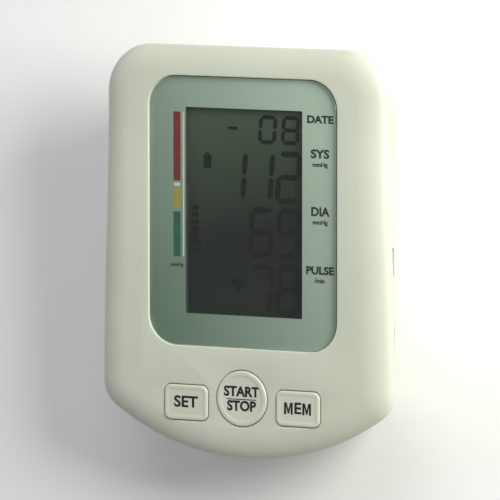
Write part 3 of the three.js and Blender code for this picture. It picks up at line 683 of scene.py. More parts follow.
def textMesh(words, size, x, y, z, thick, weight, squeeze=1.0):
    # lettering that lies in the xy plane with its middle at (x, y); sizes in mm
    curve = bpy.data.curves.new("words", "FONT")
    curve.body = words
    curve.size = size
    curve.offset = weight
    curve.extrude = thick / 2
    curve.align_x, curve.align_y = "CENTER", "CENTER"
    curve.resolution_u = 4
    holder = bpy.data.objects.new("words", curve)
    scene.collection.objects.link(holder)
    depsgraph = bpy.context.evaluated_depsgraph_get()
    mesh = bpy.data.meshes.new_from_object(holder.evaluated_get(depsgraph))
    bpy.data.objects.remove(holder)
    bpy.data.curves.remove(curve)
    mesh.transform(Matrix.Translation((x, y, z)) @ Matrix.Diagonal((squeeze, 1, 1, 1)))
    return mesh


def plate(points, low, high):
    # a flat plate with the given outline, anticlockwise
    return facedOut(ringMesh([[Vector((x, y, z)) for x, y in points] for z in (low, high)], "plate"))


def strip(x0, x1, y0, y1, low, high):
    return plate([(x0, y0), (x1, y0), (x1, y1), (x0, y1)], low, high)


def printed(name, meshes, ink, body="root"):
    # flat print whose plates are one piece
    mesh = joined(name, meshes)
    mesh.transform(faceFrame)
    return put(makeObject(mesh, name, ink), body, "mask_print")


def makeWindowPane():
    low, bevel = pane["top"] - pane["thick"], pane["lowBevel"]
    outline = roundedBox(pane["width"], pane["height"], pane["corner"], 0, pane["y"], 20)
    profile = [(-bevel, low), (0, low + bevel)] + edge(pane["topRound"], pane["top"], -1, 5)
    mesh = facedOut(prism("windowPane", outline, profile, faceFrame))
    smooth(mesh)
    return put(makeObject(mesh, "windowPane", acrylic), "root", "window", "display_window")


# the printed film's upper side, and the ink's own height and thickness
film = {"top": -1.7, "ink": 0.05}
inkTop = film["top"] + film["ink"]
# the colour scale's bands from side to side and up the face, with the pale rule and dash beside them
scale = {
    "left": -26.7, "right": -24.0, "red": (24.0, 47.4), "yellow": (14.9, 21.4), "green": (-1.8, 13.5),
    "rule": (0.9, 1.35), "dash": (22.2, 23.2), "dashInset": 0.3,
}
# each line of type: its words, middle height, size, boldness and widening
labels = {
    "x": 28.9,
    "lines": [
        ("DATE", 46.4, 3.5, 0.125, 1.12), ("SYS", 34.8, 4.0, 0.125, 1.14), ("DIA", 15.4, 4.1, 0.125, 1.0),
        ("PULSE", -4.4, 3.6, 0.125, 1.1), ("mmHg", 31.3, 2.1, 0.05, 1.0), ("mmHg", 11.9, 2.1, 0.05, 1.0),
        ("/min", -7.8, 2.1, 0.05, 1.0),
    ],
    "scaleLine": ("mmHg", -4.6, 1.8, 0.035, 1.0),
}


def makePrint():
    left, right = scale["left"], scale["right"]
    low, high = film["top"], inkTop
    for name, ink in (("red", redInk), ("yellow", yellowInk), ("green", greenInk)):
        printed(name + "Band", [strip(left, right, *scale[name], low, high)], ink)
    near, far = scale["rule"]
    inset = scale["dashInset"]
    rules = [
        strip(right + near, right + far, scale["green"][0], scale["red"][1], low, high),
        strip(left + inset, right - inset, *scale["dash"], low, high),
    ]
    printed("paleRules", rules, paleInk)
    words = [
        textMesh(word, size, x, y, inkTop, film["ink"], weight, squeeze)
        for x, lines in ((labels["x"], labels["lines"]), ((left + right) / 2, [labels["scaleLine"]]))
        for word, y, size, weight, squeeze in lines
    ]
    printed("unitLabels", words, darkInk)


makeWindowPane()
makePrint()
print("window and print made")


# liquid crystal panel: the figures slant, and a narrow space parts each segment from the next
panel = {
    "top": -4.1, "ink": -4.04, "slant": 0.07, "space": 0.28, "right": 18.9,
    "figures": [
        {"text": "08", "low": 38.0, "width": 5.4, "height": 8.4, "bar": 1.4, "pitch": 8.6},
        {"text": "112", "low": 18.4, "width": 7.4, "height": 15.8, "bar": 1.9, "pitch": 10.2},
        {"text": "69", "low": -0.2, "width": 7.4, "height": 15.2, "bar": 1.9, "pitch": 10.2},
        {"text": "78", "low": -19.4, "width": 7.4, "height": 15.2, "bar": 1.9, "pitch": 10.2},
    ],
    "dash": {"x": -7.8, "low": 38.0, "width": 4.4, "height": 8.6, "bar": 1.1},
    "battery": [(-16.4, -13.4, 28.4, 33.0), (-15.5, -14.3, 33.1, 33.8)],
    "heart": {"x": -3.2, "y": -10.5, "size": 5.2, "steps": 40},
    "marks": {"left": -20.9, "right": -18.2, "first": -0.4, "height": 1.6, "stride": 2.4, "count": 7},
}
# foam frame that keeps dust out, between the panel and the film
seal = {
    "x": 22.2, "low": -21.0, "high": 49.1, "thick": 0.45, "across": 0.4, "lap": 0.02,
    "above": 0.2, "below": 0.3,
}
litSegments = {
    "0": "abcdef", "1": "bc", "2": "abged", "6": "acdefg", "7": "abc", "8": "abcdefg", "9": "abcdfg",
    "-": "g",
}


def segmentDigit(character, x, y, width, height, bar):
    # seven mitred bars round a cell whose lower left corner is (x, y)
    half, space = height / 2, panel["space"] / 2
    corner = {
        "a": ((0, height), (1, 0)), "g": ((0, half), (1, 0)), "d": ((0, 0), (1, 0)), "f": ((0, half), (0, 1)),
        "b": ((width, half), (0, 1)), "e": ((0, 0), (0, 1)), "c": ((width, 0), (0, 1)),
    }
    plates = []
    for segment in litSegments[character]:
        (sx, sy), (dx, dy) = corner[segment]
        length = width if dx else half
        near, far = space + bar / 2, length - space - bar / 2
        run = [
            (space, 0), (near, bar / 2), (far, bar / 2), (length - space, 0), (far, -bar / 2),
            (near, -bar / 2),
        ]
        points = [(x + sx + u * dx - v * dy, y + sy + u * dy + v * dx) for u, v in reversed(run)]
        slanted = [(px + (py - y) * panel["slant"], py) for px, py in points]
        plates.append(plate(slanted, panel["top"], panel["ink"]))
    return plates


def heart(shape):
    # the usual heart curve, 32 units wide
    unit = shape["size"] / 32
    points = []
    for i in range(shape["steps"]):
        t = 2 * pi * i / shape["steps"]
        points.append((
            shape["x"] + unit * 16 * sin(t) ** 3,
            shape["y"] + unit * (13 * cos(t) - 5 * cos(2 * t) - 2 * cos(3 * t) - cos(4 * t)),
        ))
    return plate(points, panel["top"], panel["ink"])


def makeLiquidCrystal():
    top, ink = panel["top"], panel["ink"]
    plates = []
    for row in panel["figures"]:
        for place, character in enumerate(reversed(row["text"])):
            x = panel["right"] - row["width"] - place * row["pitch"]
            plates += segmentDigit(character, x, row["low"], row["width"], row["height"], row["bar"])
    dash = panel["dash"]
    plates += segmentDigit("-", dash["x"], dash["low"], dash["width"], dash["height"], dash["bar"])
    plates += [strip(*sides, top, ink) for sides in panel["battery"]]
    plates.append(heart(panel["heart"]))
    marks = panel["marks"]
    for i in range(marks["count"]):
        low = marks["first"] + i * marks["stride"]
        plates.append(strip(marks["left"], marks["right"], low, low + marks["height"], top, ink))
    mesh = joined("lcdSegments", plates)
    mesh.transform(faceFrame)
    put(makeObject(mesh, "lcdSegments", segmentInk), "root", "lcd_glass")


def makeDustSeal():
    x, low, high, thick = seal["x"], seal["low"], seal["high"], seal["thick"]
    depths = (panel["top"] + seal["above"], film["top"] - seal["below"])
    sides = [
        (-x - thick, -x, low, high), (x, x + thick, low, high),
        (-x, x, high - seal["lap"], high + seal["across"]), (-x, x, low - seal["across"], low + seal["lap"]),
    ]
    mesh = joined("dustSeal", [strip(*side, *depths) for side in sides])
    mesh.transform(faceFrame)
    put(makeObject(mesh, "dustSeal", openFoam), "root", "foam")


makeDustSeal()
makeLiquidCrystal()
print("liquid crystal figures made")


# keys: the rings of a cap's top are its shoulder, its ridge and its dish
capRings = {
    "startRidge": 0.75, "startDish": 0.16, "sideRidge": 0.5, "sideDish": 0.12, "slope": 0.9, "bevel": 0.15,
}


def capTop(ridge, dish):
    # rounded shoulder, a flat ridge round the edge and a shallow dished middle, as (outwards, height) pairs
    size, rise, steps = capStyle["round"], capStyle["rise"], 6
    profile = edge(size, rise, -1, steps + 1)
    inner = -size - ridge
    profile += [(inner, rise)]
    for i in range(1, steps + 1):
        share = i / steps
        profile.append((inner - capRings["slope"] * share, rise - dish * (1 - cos(pi * share)) / 2))
    return profile


def flangeProfile(out):
    # the collar that keeps a cap behind the face, out being how far it stands out
    high, bevel = capStyle["flangeTop"], capRings["bevel"]
    low = high - capStyle["flangeThick"]
    return [(out - bevel, low), (out, low + bevel), (out, high - 0.1), (out - 0.1, high)]


def makeStartCap():
    radius, stem, end = startCap["radius"], capStyle["stem"], capStyle["stemEnd"]
    low, high = capStyle["flangeTop"] - capStyle["flangeThick"], capStyle["flangeTop"]
    profile = [(0, end), (stem - 0.3, end), (stem, end + 0.3), (stem, low)]
    profile += flangeProfile(radius + capStyle["flange"]) + [(radius, high)]
    profile += [(radius + grow, z) for grow, z in capTop(capRings["startRidge"], capRings["startDish"])]
    profile += [(0, capStyle["rise"] - 0.2)]
    place = faceFrame @ Matrix.Translation((0, startCap["y"], 0))
    mesh = facedOut(turnedMesh("startStopCap", profile, place, 128))
    smooth(mesh)
    return put(makeObject(mesh, "startStopCap", keyAbs), "start_stop_key", "shell", "start_stop_key")


def makeSideCap(name, x, node):
    outline = roundedBox(sideCap["width"], sideCap["height"], sideCap["corner"], x, sideCap["y"], 14)
    low, end = capStyle["flangeTop"] - capStyle["flangeThick"], capStyle["stemEnd"]
    profile = flangeProfile(capStyle["flange"]) + [(0, capStyle["flangeTop"])]
    profile += capTop(capRings["sideRidge"], capRings["sideDish"])
    piece = makeObject(facedOut(prism(name, outline, profile)), name, keyAbs)
    stem = circle(capStyle["stem"], x, sideCap["y"], 28)
    combine(piece, [prism("stem", stem, [(-0.3, end), (0, end + 0.3), (0, low + 0.4)])], "UNION")
    piece.data.transform(faceFrame)
    smooth(piece.data)
    return put(piece, node, "shell", node)


# the print on the caps: how high and thick it is, how bold, and the size and widening of its letters
legendStyle = {"top": capStyle["rise"] - 0.16, "thick": 0.1, "weight": 0.155}
startLegend = {
    "lines": [("START", -46.7), ("STOP", -51.6)], "size": 4.7, "squeeze": 0.97,
    "ruleY": -49.2, "ruleHalf": 5.6, "ruleThick": 0.28,
}
sideLegend = {"y": -51.3, "size": 5.3, "squeeze": 1.1}
boldM = {"width": 3.3, "height": 4.05, "stroke": 0.8, "aside": 3.45}


def letterM(x):
    # drawn here because the font's own closes up when it is made bold
    width, height, stroke = boldM["width"], boldM["height"], boldM["stroke"]
    low, middle = sideLegend["y"] - height / 2, width / 2
    top, half = legendStyle["top"], legendStyle["thick"] / 2
    points = [
        (0, 0), (stroke, 0), (stroke, 0.68 * height), (middle - 0.4 * stroke, 0.08 * height),
        (middle + 0.4 * stroke, 0.08 * height), (width - stroke, 0.68 * height), (width - stroke, 0),
        (width, 0), (width, height), (width - 1.25 * stroke, height), (middle, 0.42 * height),
        (1.25 * stroke, height), (0, height),
    ]
    return plate([(x - middle + px, low + py) for px, py in points], top - half, top + half)


def keyWords(words, style, x, y):
    # one line of print on a cap
    top, thick, weight = legendStyle["top"], legendStyle["thick"], legendStyle["weight"]
    return textMesh(words, style["size"], x, y, top, thick, weight, style["squeeze"])


def makeLegends():
    top, half = legendStyle["top"], legendStyle["thick"] / 2
    words = [keyWords(word, startLegend, 0, y) for word, y in startLegend["lines"]]
    ruleY, reach, thick = startLegend["ruleY"], startLegend["ruleHalf"], startLegend["ruleThick"] / 2
    words.append(strip(-reach, reach, ruleY - thick, ruleY + thick, top - half, top + half))
    printed("startStopLegend", words, darkInk, "start_stop_key")
    x, y = sideCap["x"], sideLegend["y"]
    printed("setLegend", [keyWords("SET", sideLegend, -x, y)], darkInk, "set_key")
    words = [keyWords("E", sideLegend, x, y)] + [letterM(x + side * boldM["aside"]) for side in (-1, 1)]
    printed("memLegend", words, darkInk, "mem_key")


makeStartCap()
makeSideCap("setCap", -sideCap["x"], "set_key")
makeSideCap("memCap", sideCap["x"], "mem_key")
makeLegends()
print("keys made")


# Geometry Nodes trees for what repeats

def newTree(name, sizes):
    # sizes: the tree's inputs as name -> (socket kind, value)
    tree = bpy.data.node_groups.new(name, "GeometryNodeTree")
    tree.interface.new_socket("Geometry", in_out="INPUT", socket_type="NodeSocketGeometry")
    tree.interface.new_socket("Geometry", in_out="OUTPUT", socket_type="NodeSocketGeometry")
    for label, (kind, value) in sizes.items():
        tree.interface.new_socket(label, in_out="INPUT", socket_type=kind)
    return tree, addNode(tree, "NodeGroupInput"), addNode(tree, "NodeGroupOutput")


def endTree(tree, instances, source, output):
    whole = addNode(tree, "GeometryNodeRealizeInstances", {"Geometry": instances})
    coated = addNode(tree, "GeometryNodeSetMaterial", {
        "Geometry": whole.outputs["Geometry"], "Material": source.outputs["Material"],
    })
    tree.links.new(coated.outputs["Geometry"], output.inputs["Geometry"])


def grown(name, baseMesh, tree, sizes):
    # runs the tree on the base mesh and keeps the result as a plain mesh
    piece = makeObject(baseMesh, name)
    step = piece.modifiers.new("grow", "NODES")
    step.node_group = tree
    for item in tree.interface.items_tree:
        if item.item_type == "SOCKET" and item.in_out == "INPUT" and item.name in sizes:
            step[item.identifier] = sizes[item.name][1]
    return applied(piece)


def rowOf(name, unit, count, start, stride, material):
    # copies of a unit mesh in a straight row
    sizes = {
        "Count": ("NodeSocketInt", count), "Start": ("NodeSocketVector", start),
        "Stride": ("NodeSocketVector", stride), "Material": ("NodeSocketMaterial", material),
    }
    tree, source, output = newTree(name + "Row", sizes)
    line = addNode(tree, "GeometryNodeMeshLine", {
        "Count": source.outputs["Count"], "Start Location": source.outputs["Start"],
        "Offset": source.outputs["Stride"],
    })
    copies = addNode(tree, "GeometryNodeInstanceOnPoints", {
        "Points": line.outputs["Mesh"], "Instance": source.outputs["Geometry"],
    })
    endTree(tree, copies.outputs["Instances"], source, output)
    return grown(name, unit, tree, sizes)


def ringOf(name, unit, count, radius, material):
    # copies of a unit mesh round a circle, and one at its centre
    sizes = {
        "Count": ("NodeSocketInt", count), "Radius": ("NodeSocketFloat", radius),
        "Material": ("NodeSocketMaterial", material),
    }
    tree, source, output = newTree(name + "Ring", sizes)
    rim = addNode(tree, "GeometryNodeMeshCircle", {
        "Vertices": source.outputs["Count"], "Radius": source.outputs["Radius"],
    })
    copies = addNode(tree, "GeometryNodeInstanceOnPoints", {
        "Points": rim.outputs["Mesh"], "Instance": source.outputs["Geometry"],
    })
    both = addNode(tree, "GeometryNodeJoinGeometry")
    tree.links.new(copies.outputs["Instances"], both.inputs["Geometry"])
    tree.links.new(source.outputs["Geometry"], both.inputs["Geometry"])
    endTree(tree, both.outputs["Geometry"], source, output)
    return grown(name, unit, tree, sizes)


def onPoints(name, unit, points, material):
    # copies of a unit mesh at the given points
    holder = makeObject(unit, name + "Unit")
    sizes = {"Unit": ("NodeSocketObject", holder), "Material": ("NodeSocketMaterial", material)}
    tree, source, output = newTree(name + "Copies", sizes)
    one = addNode(tree, "GeometryNodeObjectInfo", {"Object": source.outputs["Unit"]})
    copies = addNode(tree, "GeometryNodeInstanceOnPoints", {
        "Points": source.outputs["Geometry"], "Instance": one.outputs["Geometry"],
    })
    endTree(tree, copies.outputs["Instances"], source, output)
    piece = grown(name, meshFrom(points, [], name), tree, sizes)
    bpy.data.objects.remove(holder)
    return piece


def coilMesh(name, coil, material):
    # a tapering round-wire coil along z
    sizes = {
        "Turns": ("NodeSocketFloat", coil["turns"]), "Low Radius": ("NodeSocketFloat", coil["large"]),
        "High Radius": ("NodeSocketFloat", coil["small"]), "Height": ("NodeSocketFloat", coil["height"]),
        "Wire": ("NodeSocketFloat", coil["wire"]), "Material": ("NodeSocketMaterial", material),
    }
    tree, source, output = newTree(name + "Coil", sizes)
    spiral = addNode(tree, "GeometryNodeCurveSpiral", {
        "Resolution": 28, "Rotations": source.outputs["Turns"], "Start Radius": source.outputs["Low Radius"],
        "End Radius": source.outputs["High Radius"], "Height": source.outputs["Height"],
    })
    wire = addNode(tree, "GeometryNodeCurvePrimitiveCircle", {
        "Resolution": 10, "Radius": source.outputs["Wire"],
    })
    tube = addNode(tree, "GeometryNodeCurveToMesh", {
        "Curve": spiral.outputs["Curve"], "Profile Curve": wire.outputs["Curve"], "Fill Caps": True,
    })
    endTree(tree, tube.outputs["Mesh"], source, output)
    return taken(grown(name, meshFrom([], [], name), tree, sizes))


print("node trees ready")


# rear shell: a flat base whose outline grows, step by step, into the case's outline at the parting line
rearShell = {
    "base": {
        "top": 52, "low": -58, "halfTop": 32, "halfLow": 33, "cornerTop": 13, "cornerLow": 11, "chin": 70,
    },
    "height": 1.6, "wall": 2.2, "steps": 30, "flare": 2, "widen": 1.1, "lip": 0.3,
}
bay = {"half": 29.3, "low": -42, "high": 19.6, "ceiling": 18.9, "wall": 1.5}
door = {
    "half": 30.3, "low": -43, "thick": 2.2, "hinge": 19.9, "tab": 8, "tabReach": 2.5, "tabX": 18,
    "swing": 3.2, "latch": 10, "latchBlock": (-11, 11, -53, -41, 0, 7),
}
tongue = {"thick": 1.3, "root": 0.6, "below": 2.6, "step": 0.4, "above": 2.4, "lead": 0.2}
caseScrew = {
    "boss": 5, "well": 3.4, "floor": 3, "shaft": 1.3, "head": 2.8, "headThick": 2, "length": 9.6,
    "pitch": 0.9, "cross": 3.0, "slot": 0.75,
}
footPad = {"radius": 3.5, "sunk": 0.8, "round": 0.55, "spots": [(24, 44), (-24, 44), (21, -50), (-21, -50)]}
jack = {"y": 24, "z": 23, "pocket": 6, "pocketX": -41.5, "boss": 8, "bossX": -38, "barrel": 2.8, "bore": 1.5}
usb = {"y": 0, "z": 25.8, "width": 7.8, "height": 4, "front": 46.5, "length": 9, "shell": 0.4}
dcJack = {"y": -25, "z": 20.5, "bore": 2.75, "front": 42.8, "side": 8, "length": 10}
grille = {
    "x": -38.2, "y": -10, "z": 17.5, "lean": radians(30), "radius": 1.0, "depth": 14, "ring": 3.6, "count": 6,
}
fingerScoop = {"width": 16, "height": 9, "corner": 3, "y": -46.5}
outside = 60  # further out than any of the case, for cutters that come in from a side
seam = -shell["parting"] - gap

grillePlace = (standPlace @ Matrix.Translation((grille["x"], grille["y"], grille["z"]))
               @ Matrix.Rotation(pi / 2 - grille["lean"], 4, "Y"))


def hullRing(height, width, inset, lift):
    # height and width are shares of the way from the flat base to the parting line
    low = caseOutline(rearShell["base"], inset)
    high = bodyOutline(-partingInset - inset)
    ring = []
    for (lowX, lowY), (highX, highY) in zip(low, high):
        start = standPlace @ Vector((lowX, lowY, rearShell["height"] + lift))
        end = faceFrame @ Vector((highX, highY, seam))
        ring.append(Vector((
            start.x + (end.x - start.x) * width, start.y + (end.y - start.y) * width,
            start.z + (end.z - start.z) * height,
        )))
    return ring


def hullMesh(name, inset, lift, steps, above=0):
    # the hull, or with above a cutter that goes on past the parting line
    rings = [
        hullRing((i / steps) ** rearShell["flare"], (i / steps) ** rearShell["widen"], inset, lift)
        for i in range(steps + 1)
    ]
    if above:
        rings.append([point + Vector((0, 0, above * mm)) for point in rings[-1]])
    else:
        # a small round at the parting line
        lip = rearShell["lip"]
        edgeRing = hullRing(1, 1, lip, 0)
        rings[-1] = [point - Vector((0, 0, lip * mm)) for point in rings[-1]]
        rings.append([a.lerp(b, 0.3) + Vector((0, 0, lip * 0.3 * mm)) for a, b in zip(rings[-1], edgeRing)])
        rings.append(edgeRing)
    return facedOut(ringMesh(rings, name))


def box(x0, x1, y0, y1, z0, z1, corner):
    outline = roundedBox(x1 - x0, y1 - y0, corner, (x0 + x1) / 2, (y0 + y1) / 2, 5)
    return prism("box", outline, [(0, z0), (0, z1)], standPlace)


def rodX(y, z, radius, x0, x1):
    # a rod along x
    turnX = Matrix.Translation((0, y, z)) @ Matrix.Rotation(pi / 2, 4, "Y")
    return prism("rod", circle(radius), [(0, x1), (0, x0)], standPlace @ turnX)


def facingX(x, y, z):
    # local x becomes y, local y becomes z and local z becomes x
    return standPlace @ Matrix.Translation((x, y, z)) @ Matrix((
        (0, 0, 1, 0), (1, 0, 0, 0), (0, 1, 0, 0), (0, 0, 0, 1)))


def rearCavity():
    # the inside of the shell, less the battery bay, the latch's block, the jack's boss and the screw bosses
    cavity = makeObject(hullMesh("cavity", rearShell["wall"], rearShell["wall"], 12, 3), "cavity")
    side = bay["half"] + bay["wall"]
    kept = [
        box(-side, side, bay["low"] - 3.4, bay["high"] + 5.4, 0, bay["ceiling"] + bay["wall"], 2),
        box(*door["latchBlock"], 1),
        rodX(jack["y"], jack["z"], jack["boss"], -outside, jack["bossX"]),
    ]
    for x, y in caseScrewSpots:
        kept.append(prism("boss", circle(caseScrew["boss"], x, y, 32), [(0, -outside), (0, seam)], faceFrame))
    combine(cavity, kept)
    return taken(cavity)


def tongueMesh():
    # the fence round the rear shell's edge that the front shell fits over
    inside, lead = partingInset + shell["wall"], tongue["lead"]
    root, out = tongue["root"] - inside, -inside - gap
    outer = [
        (root, seam - tongue["below"]), (root, seam - tongue["step"]), (out, seam - lead),
        (out, seam + tongue["above"] - lead), (out - lead, seam + tongue["above"]),
    ]
    piece = makeObject(facedOut(prism("tongue", bodyOutline, outer, faceFrame)), "tongue")
    inner = [(-inside - tongue["thick"], seam - 3), (-inside - tongue["thick"], seam + 3)]
    combine(piece, [prism("inside", bodyOutline, inner, faceFrame)])
    return taken(piece)


def socketCutters():
    # the mouths of the three sockets in the side walls
    usbHole = roundedBox(usb["width"] + 1.6, usb["height"] + 1.2, 1.0, 0, 0, 6)
    return [
        rodX(jack["y"], jack["z"], jack["pocket"], -outside, jack["pocketX"]),
        rodX(jack["y"], jack["z"], jack["barrel"] + gap, -outside, jack["bossX"] + 1),
        rodX(dcJack["y"], dcJack["z"], dcJack["bore"] + 0.7, outside, dcJack["front"] - 2),
        prism("usb", usbHole, [(0, usb["front"] - 8), (0, outside)], facingX(0, usb["y"], usb["z"])),
    ]


def doorCutters():
    # the bay, the door's recess, the dish for a fingertip and the pockets for the hinge tabs
    base = rearShell["height"]
    hingeZ = base + door["thick"] / 2
    side = door["half"] + gap
    dish = fingerScoop
    scoop = roundedBox(dish["width"], dish["height"], dish["corner"], 0, dish["y"], 8)
    cutters = [
        box(-bay["half"], bay["half"], bay["low"], bay["high"], 0, bay["ceiling"], 1),
        box(-side, side, door["low"] - gap, door["hinge"] + door["thick"] / 2 + gap, 0,
            base + door["thick"] + gap, 1.2),
        prism("scoop", scoop, [
            (0.9, 0), (0.9, base), (0.3, base + 1.2), (-0.6, base + 2.4), (-1.8, base + 3.0),
        ], standPlace),
    ]
    half = door["tab"] / 2 + gap
    for x in (-door["tabX"], door["tabX"]):
        cutters.append(box(
            x - half, x + half, door["hinge"] - 0.5, door["hinge"] + door["swing"], hingeZ - 0.1,
            hingeZ + door["swing"], 0.5,
        ))
    return cutters


def makeRearShell():
    piece = makeObject(hullMesh("rearShell", 0, 0, rearShell["steps"]), "rearShell", shellAbs)
    combine(piece, [rearCavity()])
    combine(piece, [tongueMesh()], "UNION")
    base = rearShell["height"]
    cutters = socketCutters() + doorCutters()
    for x, y in caseScrewSpots:
        well = [(0, -outside), (0, seam - caseScrew["floor"])]
        cutters.append(prism("well", circle(caseScrew["well"], x, y, 40), well, faceFrame))
        shaft = circle(caseScrew["shaft"] + gap, x, y, 20)
        cutters.append(prism("shaft", shaft, [(0, -40), (0, 0)], faceFrame))
    for x, y in footPad["spots"]:
        cutters.append(prism("footSocket", circle(footPad["radius"] + gap, x, y, 48), [
            (0.4, -1), (0.4, base), (0, base + 0.4), (0, base + footPad["sunk"] + gap),
        ], standPlace))
    hole = prism("hole", circle(grille["radius"], 0, 0, 20), [(0, 0), (0, -grille["depth"])])
    perforations = ringOf("perforations", hole, grille["count"], grille["ring"], shellAbs)
    perforations.data.transform(grillePlace)
    cutters.append(taken(perforations))
    combine(piece, cutters)
    smooth(piece.data, 30)
    return put(piece, "root", "shell", "rear_cover")


makeRearShell()
print("rear shell made")


# battery door, with a row of bars to push it by, stiffeners inside and an arrow that shows which way it opens
doorGrip = {"count": 6, "width": 17, "bar": 0.9, "proud": 0.35, "stride": 1.7, "first": -40.6}
doorStiffener = {"count": 6, "width": 50, "bar": 1.2, "high": 0.45, "stride": 9.2, "first": -32}
doorArrow = {"tip": -32.9, "shoulder": -29.5, "tail": -24.5, "half": 3.2, "stalk": 0.9, "proud": 0.3}


def ridge(width, bar, low, high):
    # a bar with rounded ends and eased top edges
    ease = 0.12
    outline = roundedBox(width, bar, bar / 2 - 0.02, 0, 0, 4)
    return facedOut(prism("ridge", outline, [(0, low), (0, high - ease), (-ease, high)], standFrame))


def ridgeRow(name, style, unit):
    first = (0, (style["first"] + standShift) * mm, 0)
    bars = rowOf(name, unit, style["count"], first, (0, style["stride"] * mm, 0), shellAbs)
    smooth(bars.data, 50)
    put(bars, "battery_door", "shell")


def makeDoor():
    base = rearShell["height"]
    top, hingeZ = base + door["thick"], base + door["thick"] / 2
    half, low, hinge = door["half"], door["low"], door["hinge"]
    outline = roundedBox(2 * half, hinge - low, 1.0, 0, (hinge + low) / 2, 6)
    panelMesh = prism("doorPanel", outline, [
        (-0.35, base), (-0.1, base + 0.1), (0, base + 0.35), (0, top - 0.2), (-0.2, top),
    ], standPlace)
    piece = makeObject(facedOut(panelMesh), "doorPanel", shellAbs)
    latch, tab = door["latch"] / 2, door["tab"] / 2
    added = [
        rodX(hinge, hingeZ, door["thick"] / 2, -half + 0.02, half - 0.02),
        box(-latch, latch, low - 1.4, low + 1, base + 0.8, base + 1.8, 0.4),
    ]
    reach = hinge + door["tabReach"]
    for x in (-door["tabX"], door["tabX"]):
        added.append(box(x - tab, x + tab, hinge - 1, reach, hingeZ + 0.1, hingeZ + 1.2, 0.5))
    combine(piece, added, "UNION")
    smooth(piece.data, 30)
    put(piece, "battery_door", "shell", "battery_door")


def makeDoorBars():
    base = rearShell["height"]
    top = base + door["thick"]
    grip, rib = doorGrip, doorStiffener
    # the grip's bars stand out of the outer side, so their mesh is turned over
    unit = ridge(grip["width"], grip["bar"], base - grip["proud"], base + 0.1)
    turnOver = Matrix.Translation((0, 0, (2 * base - 0.25) * mm)) @ Matrix.Rotation(pi, 4, "Y")
    unit.transform(turnOver)
    ridgeRow("doorGrip", grip, unit)
    ridgeRow("doorStiffeners", rib, ridge(rib["width"], rib["bar"], top - 0.1, top + rib["high"]))


def makeDoorArrow():
    low, high = rearShell["height"] - doorArrow["proud"], rearShell["height"] + 0.1
    half, stalk, shoulder = doorArrow["half"], doorArrow["stalk"], doorArrow["shoulder"]
    head = plate([(-half, shoulder), (0, doorArrow["tip"]), (half, shoulder)], low, high)
    mark = joined("doorArrow", [head, strip(-stalk, stalk, shoulder - 0.1, doorArrow["tail"], low, high)])
    mark.transform(standPlace)
    put(makeObject(mark, "doorArrow", shellAbs), "battery_door", "shell")


makeDoor()
makeDoorBars()
makeDoorArrow()
print("battery door made")


# feet, screws and the rating label
ratingLabel = {
    "width": 36, "height": 15, "corner": 1.5, "y": 33.5,
    "frame": [(-16.5, 16.5, 39.0, 39.3), (-16.5, 16.5, 27.7, 28.0), (-16.5, -16.2, 28.0, 39.0),
              (16.2, 16.5, 28.0, 39.0)],
}


def makeFeet():
    top, radius, size, steps = rearShell["height"] + footPad["sunk"], footPad["radius"], footPad["round"], 6
    profile = [(0, 0.18), (radius - 1.6, 0.14), (radius - 1.1, 0.0), (radius - size, 0.0)]
    for i in range(1, steps + 1):
        turn = pi / 2 * i / steps
        profile.append((radius - size * (1 - sin(turn)), size * (1 - cos(turn))))
    profile += [(radius, top), (0, top)]
    pad = facedOut(turnedMesh("pad", profile, standFrame, 56))
    spots = [(x * mm, (y + standShift) * mm, 0) for x, y in footPad["spots"]]
    piece = onPoints("rubberFeet", pad, spots, footRubber)
    smooth(piece.data, 50)
    put(piece, "root", "rubber", "foot_1", "foot_2", "foot_3", "foot_4")


def makeCaseScrews():
    # pan heads with a cross recess, driven up from below
    seat = seam - caseScrew["floor"] - gap
    head, shaft = caseScrew["head"], caseScrew["shaft"]
    length, pitch = caseScrew["length"], caseScrew["pitch"]
    low = seat - caseScrew["headThick"]
    profile = [(0, low)]
    headSteps = 7
    for i in range(headSteps + 1):
        turn = pi / 2 * i / headSteps
        profile.append((head * (0.55 + 0.45 * sin(turn)), low + 0.9 * (1 - cos(turn))))
    profile += [(head, seat), (shaft, seat)]
    # thread as a stack of shallow collars
    depth, end, z = 0.3, seat + length - 1, seat + 0.3
    while z + pitch < end:
        profile += [
            (shaft - depth, z), (shaft, z + pitch * 0.45), (shaft, z + pitch * 0.55),
            (shaft - depth, z + pitch),
        ]
        z += pitch
    profile += [(shaft - depth, end), (0, seat + length)]
    screw = makeObject(facedOut(turnedMesh("screw", profile, Matrix(), 40)), "screw")
    long, narrow = caseScrew["cross"], caseScrew["slot"]
    taper = [(0.08, low - 1), (0.05, low), (-0.12, low + 1.2)]
    arms = [
        prism("arm", roundedBox(width, height, 0.2, 0, 0, 3), taper)
        for width, height in ((long, narrow), (narrow, long))
    ]
    combine(screw, arms)
    unit = taken(screw)
    unit.transform(faceTurn @ standFrame)
    spots = [tuple(faceFrame @ Vector((x, y, 0))) for x, y in caseScrewSpots]
    piece = onPoints("caseScrews", unit, spots, nickelPlate)
    smooth(piece.data, 35)
    put(piece, "root", "steel", "case_screw_1", "case_screw_2", "case_screw_3", "case_screw_4")


def makeRatingLabel():
    # a blank label, with a thin printed frame
    base, style = rearShell["height"], ratingLabel
    outline = roundedBox(style["width"], style["height"], style["corner"], 0, style["y"], 6)
    sheet = facedOut(prism("ratingLabel", outline, [(0, base - 0.08), (0, base + 0.04)], standPlace))
    put(makeObject(sheet, "ratingLabel", labelFilm), "root", "mask_print")
    border = joined("labelFrame", [strip(*sides, base - 0.12, base - 0.06) for sides in style["frame"]])
    border.transform(standPlace)
    put(makeObject(border, "labelFrame", darkInk), "root", "mask_print")


makeFeet()
makeCaseScrews()
makeRatingLabel()
print("feet, screws and label made")


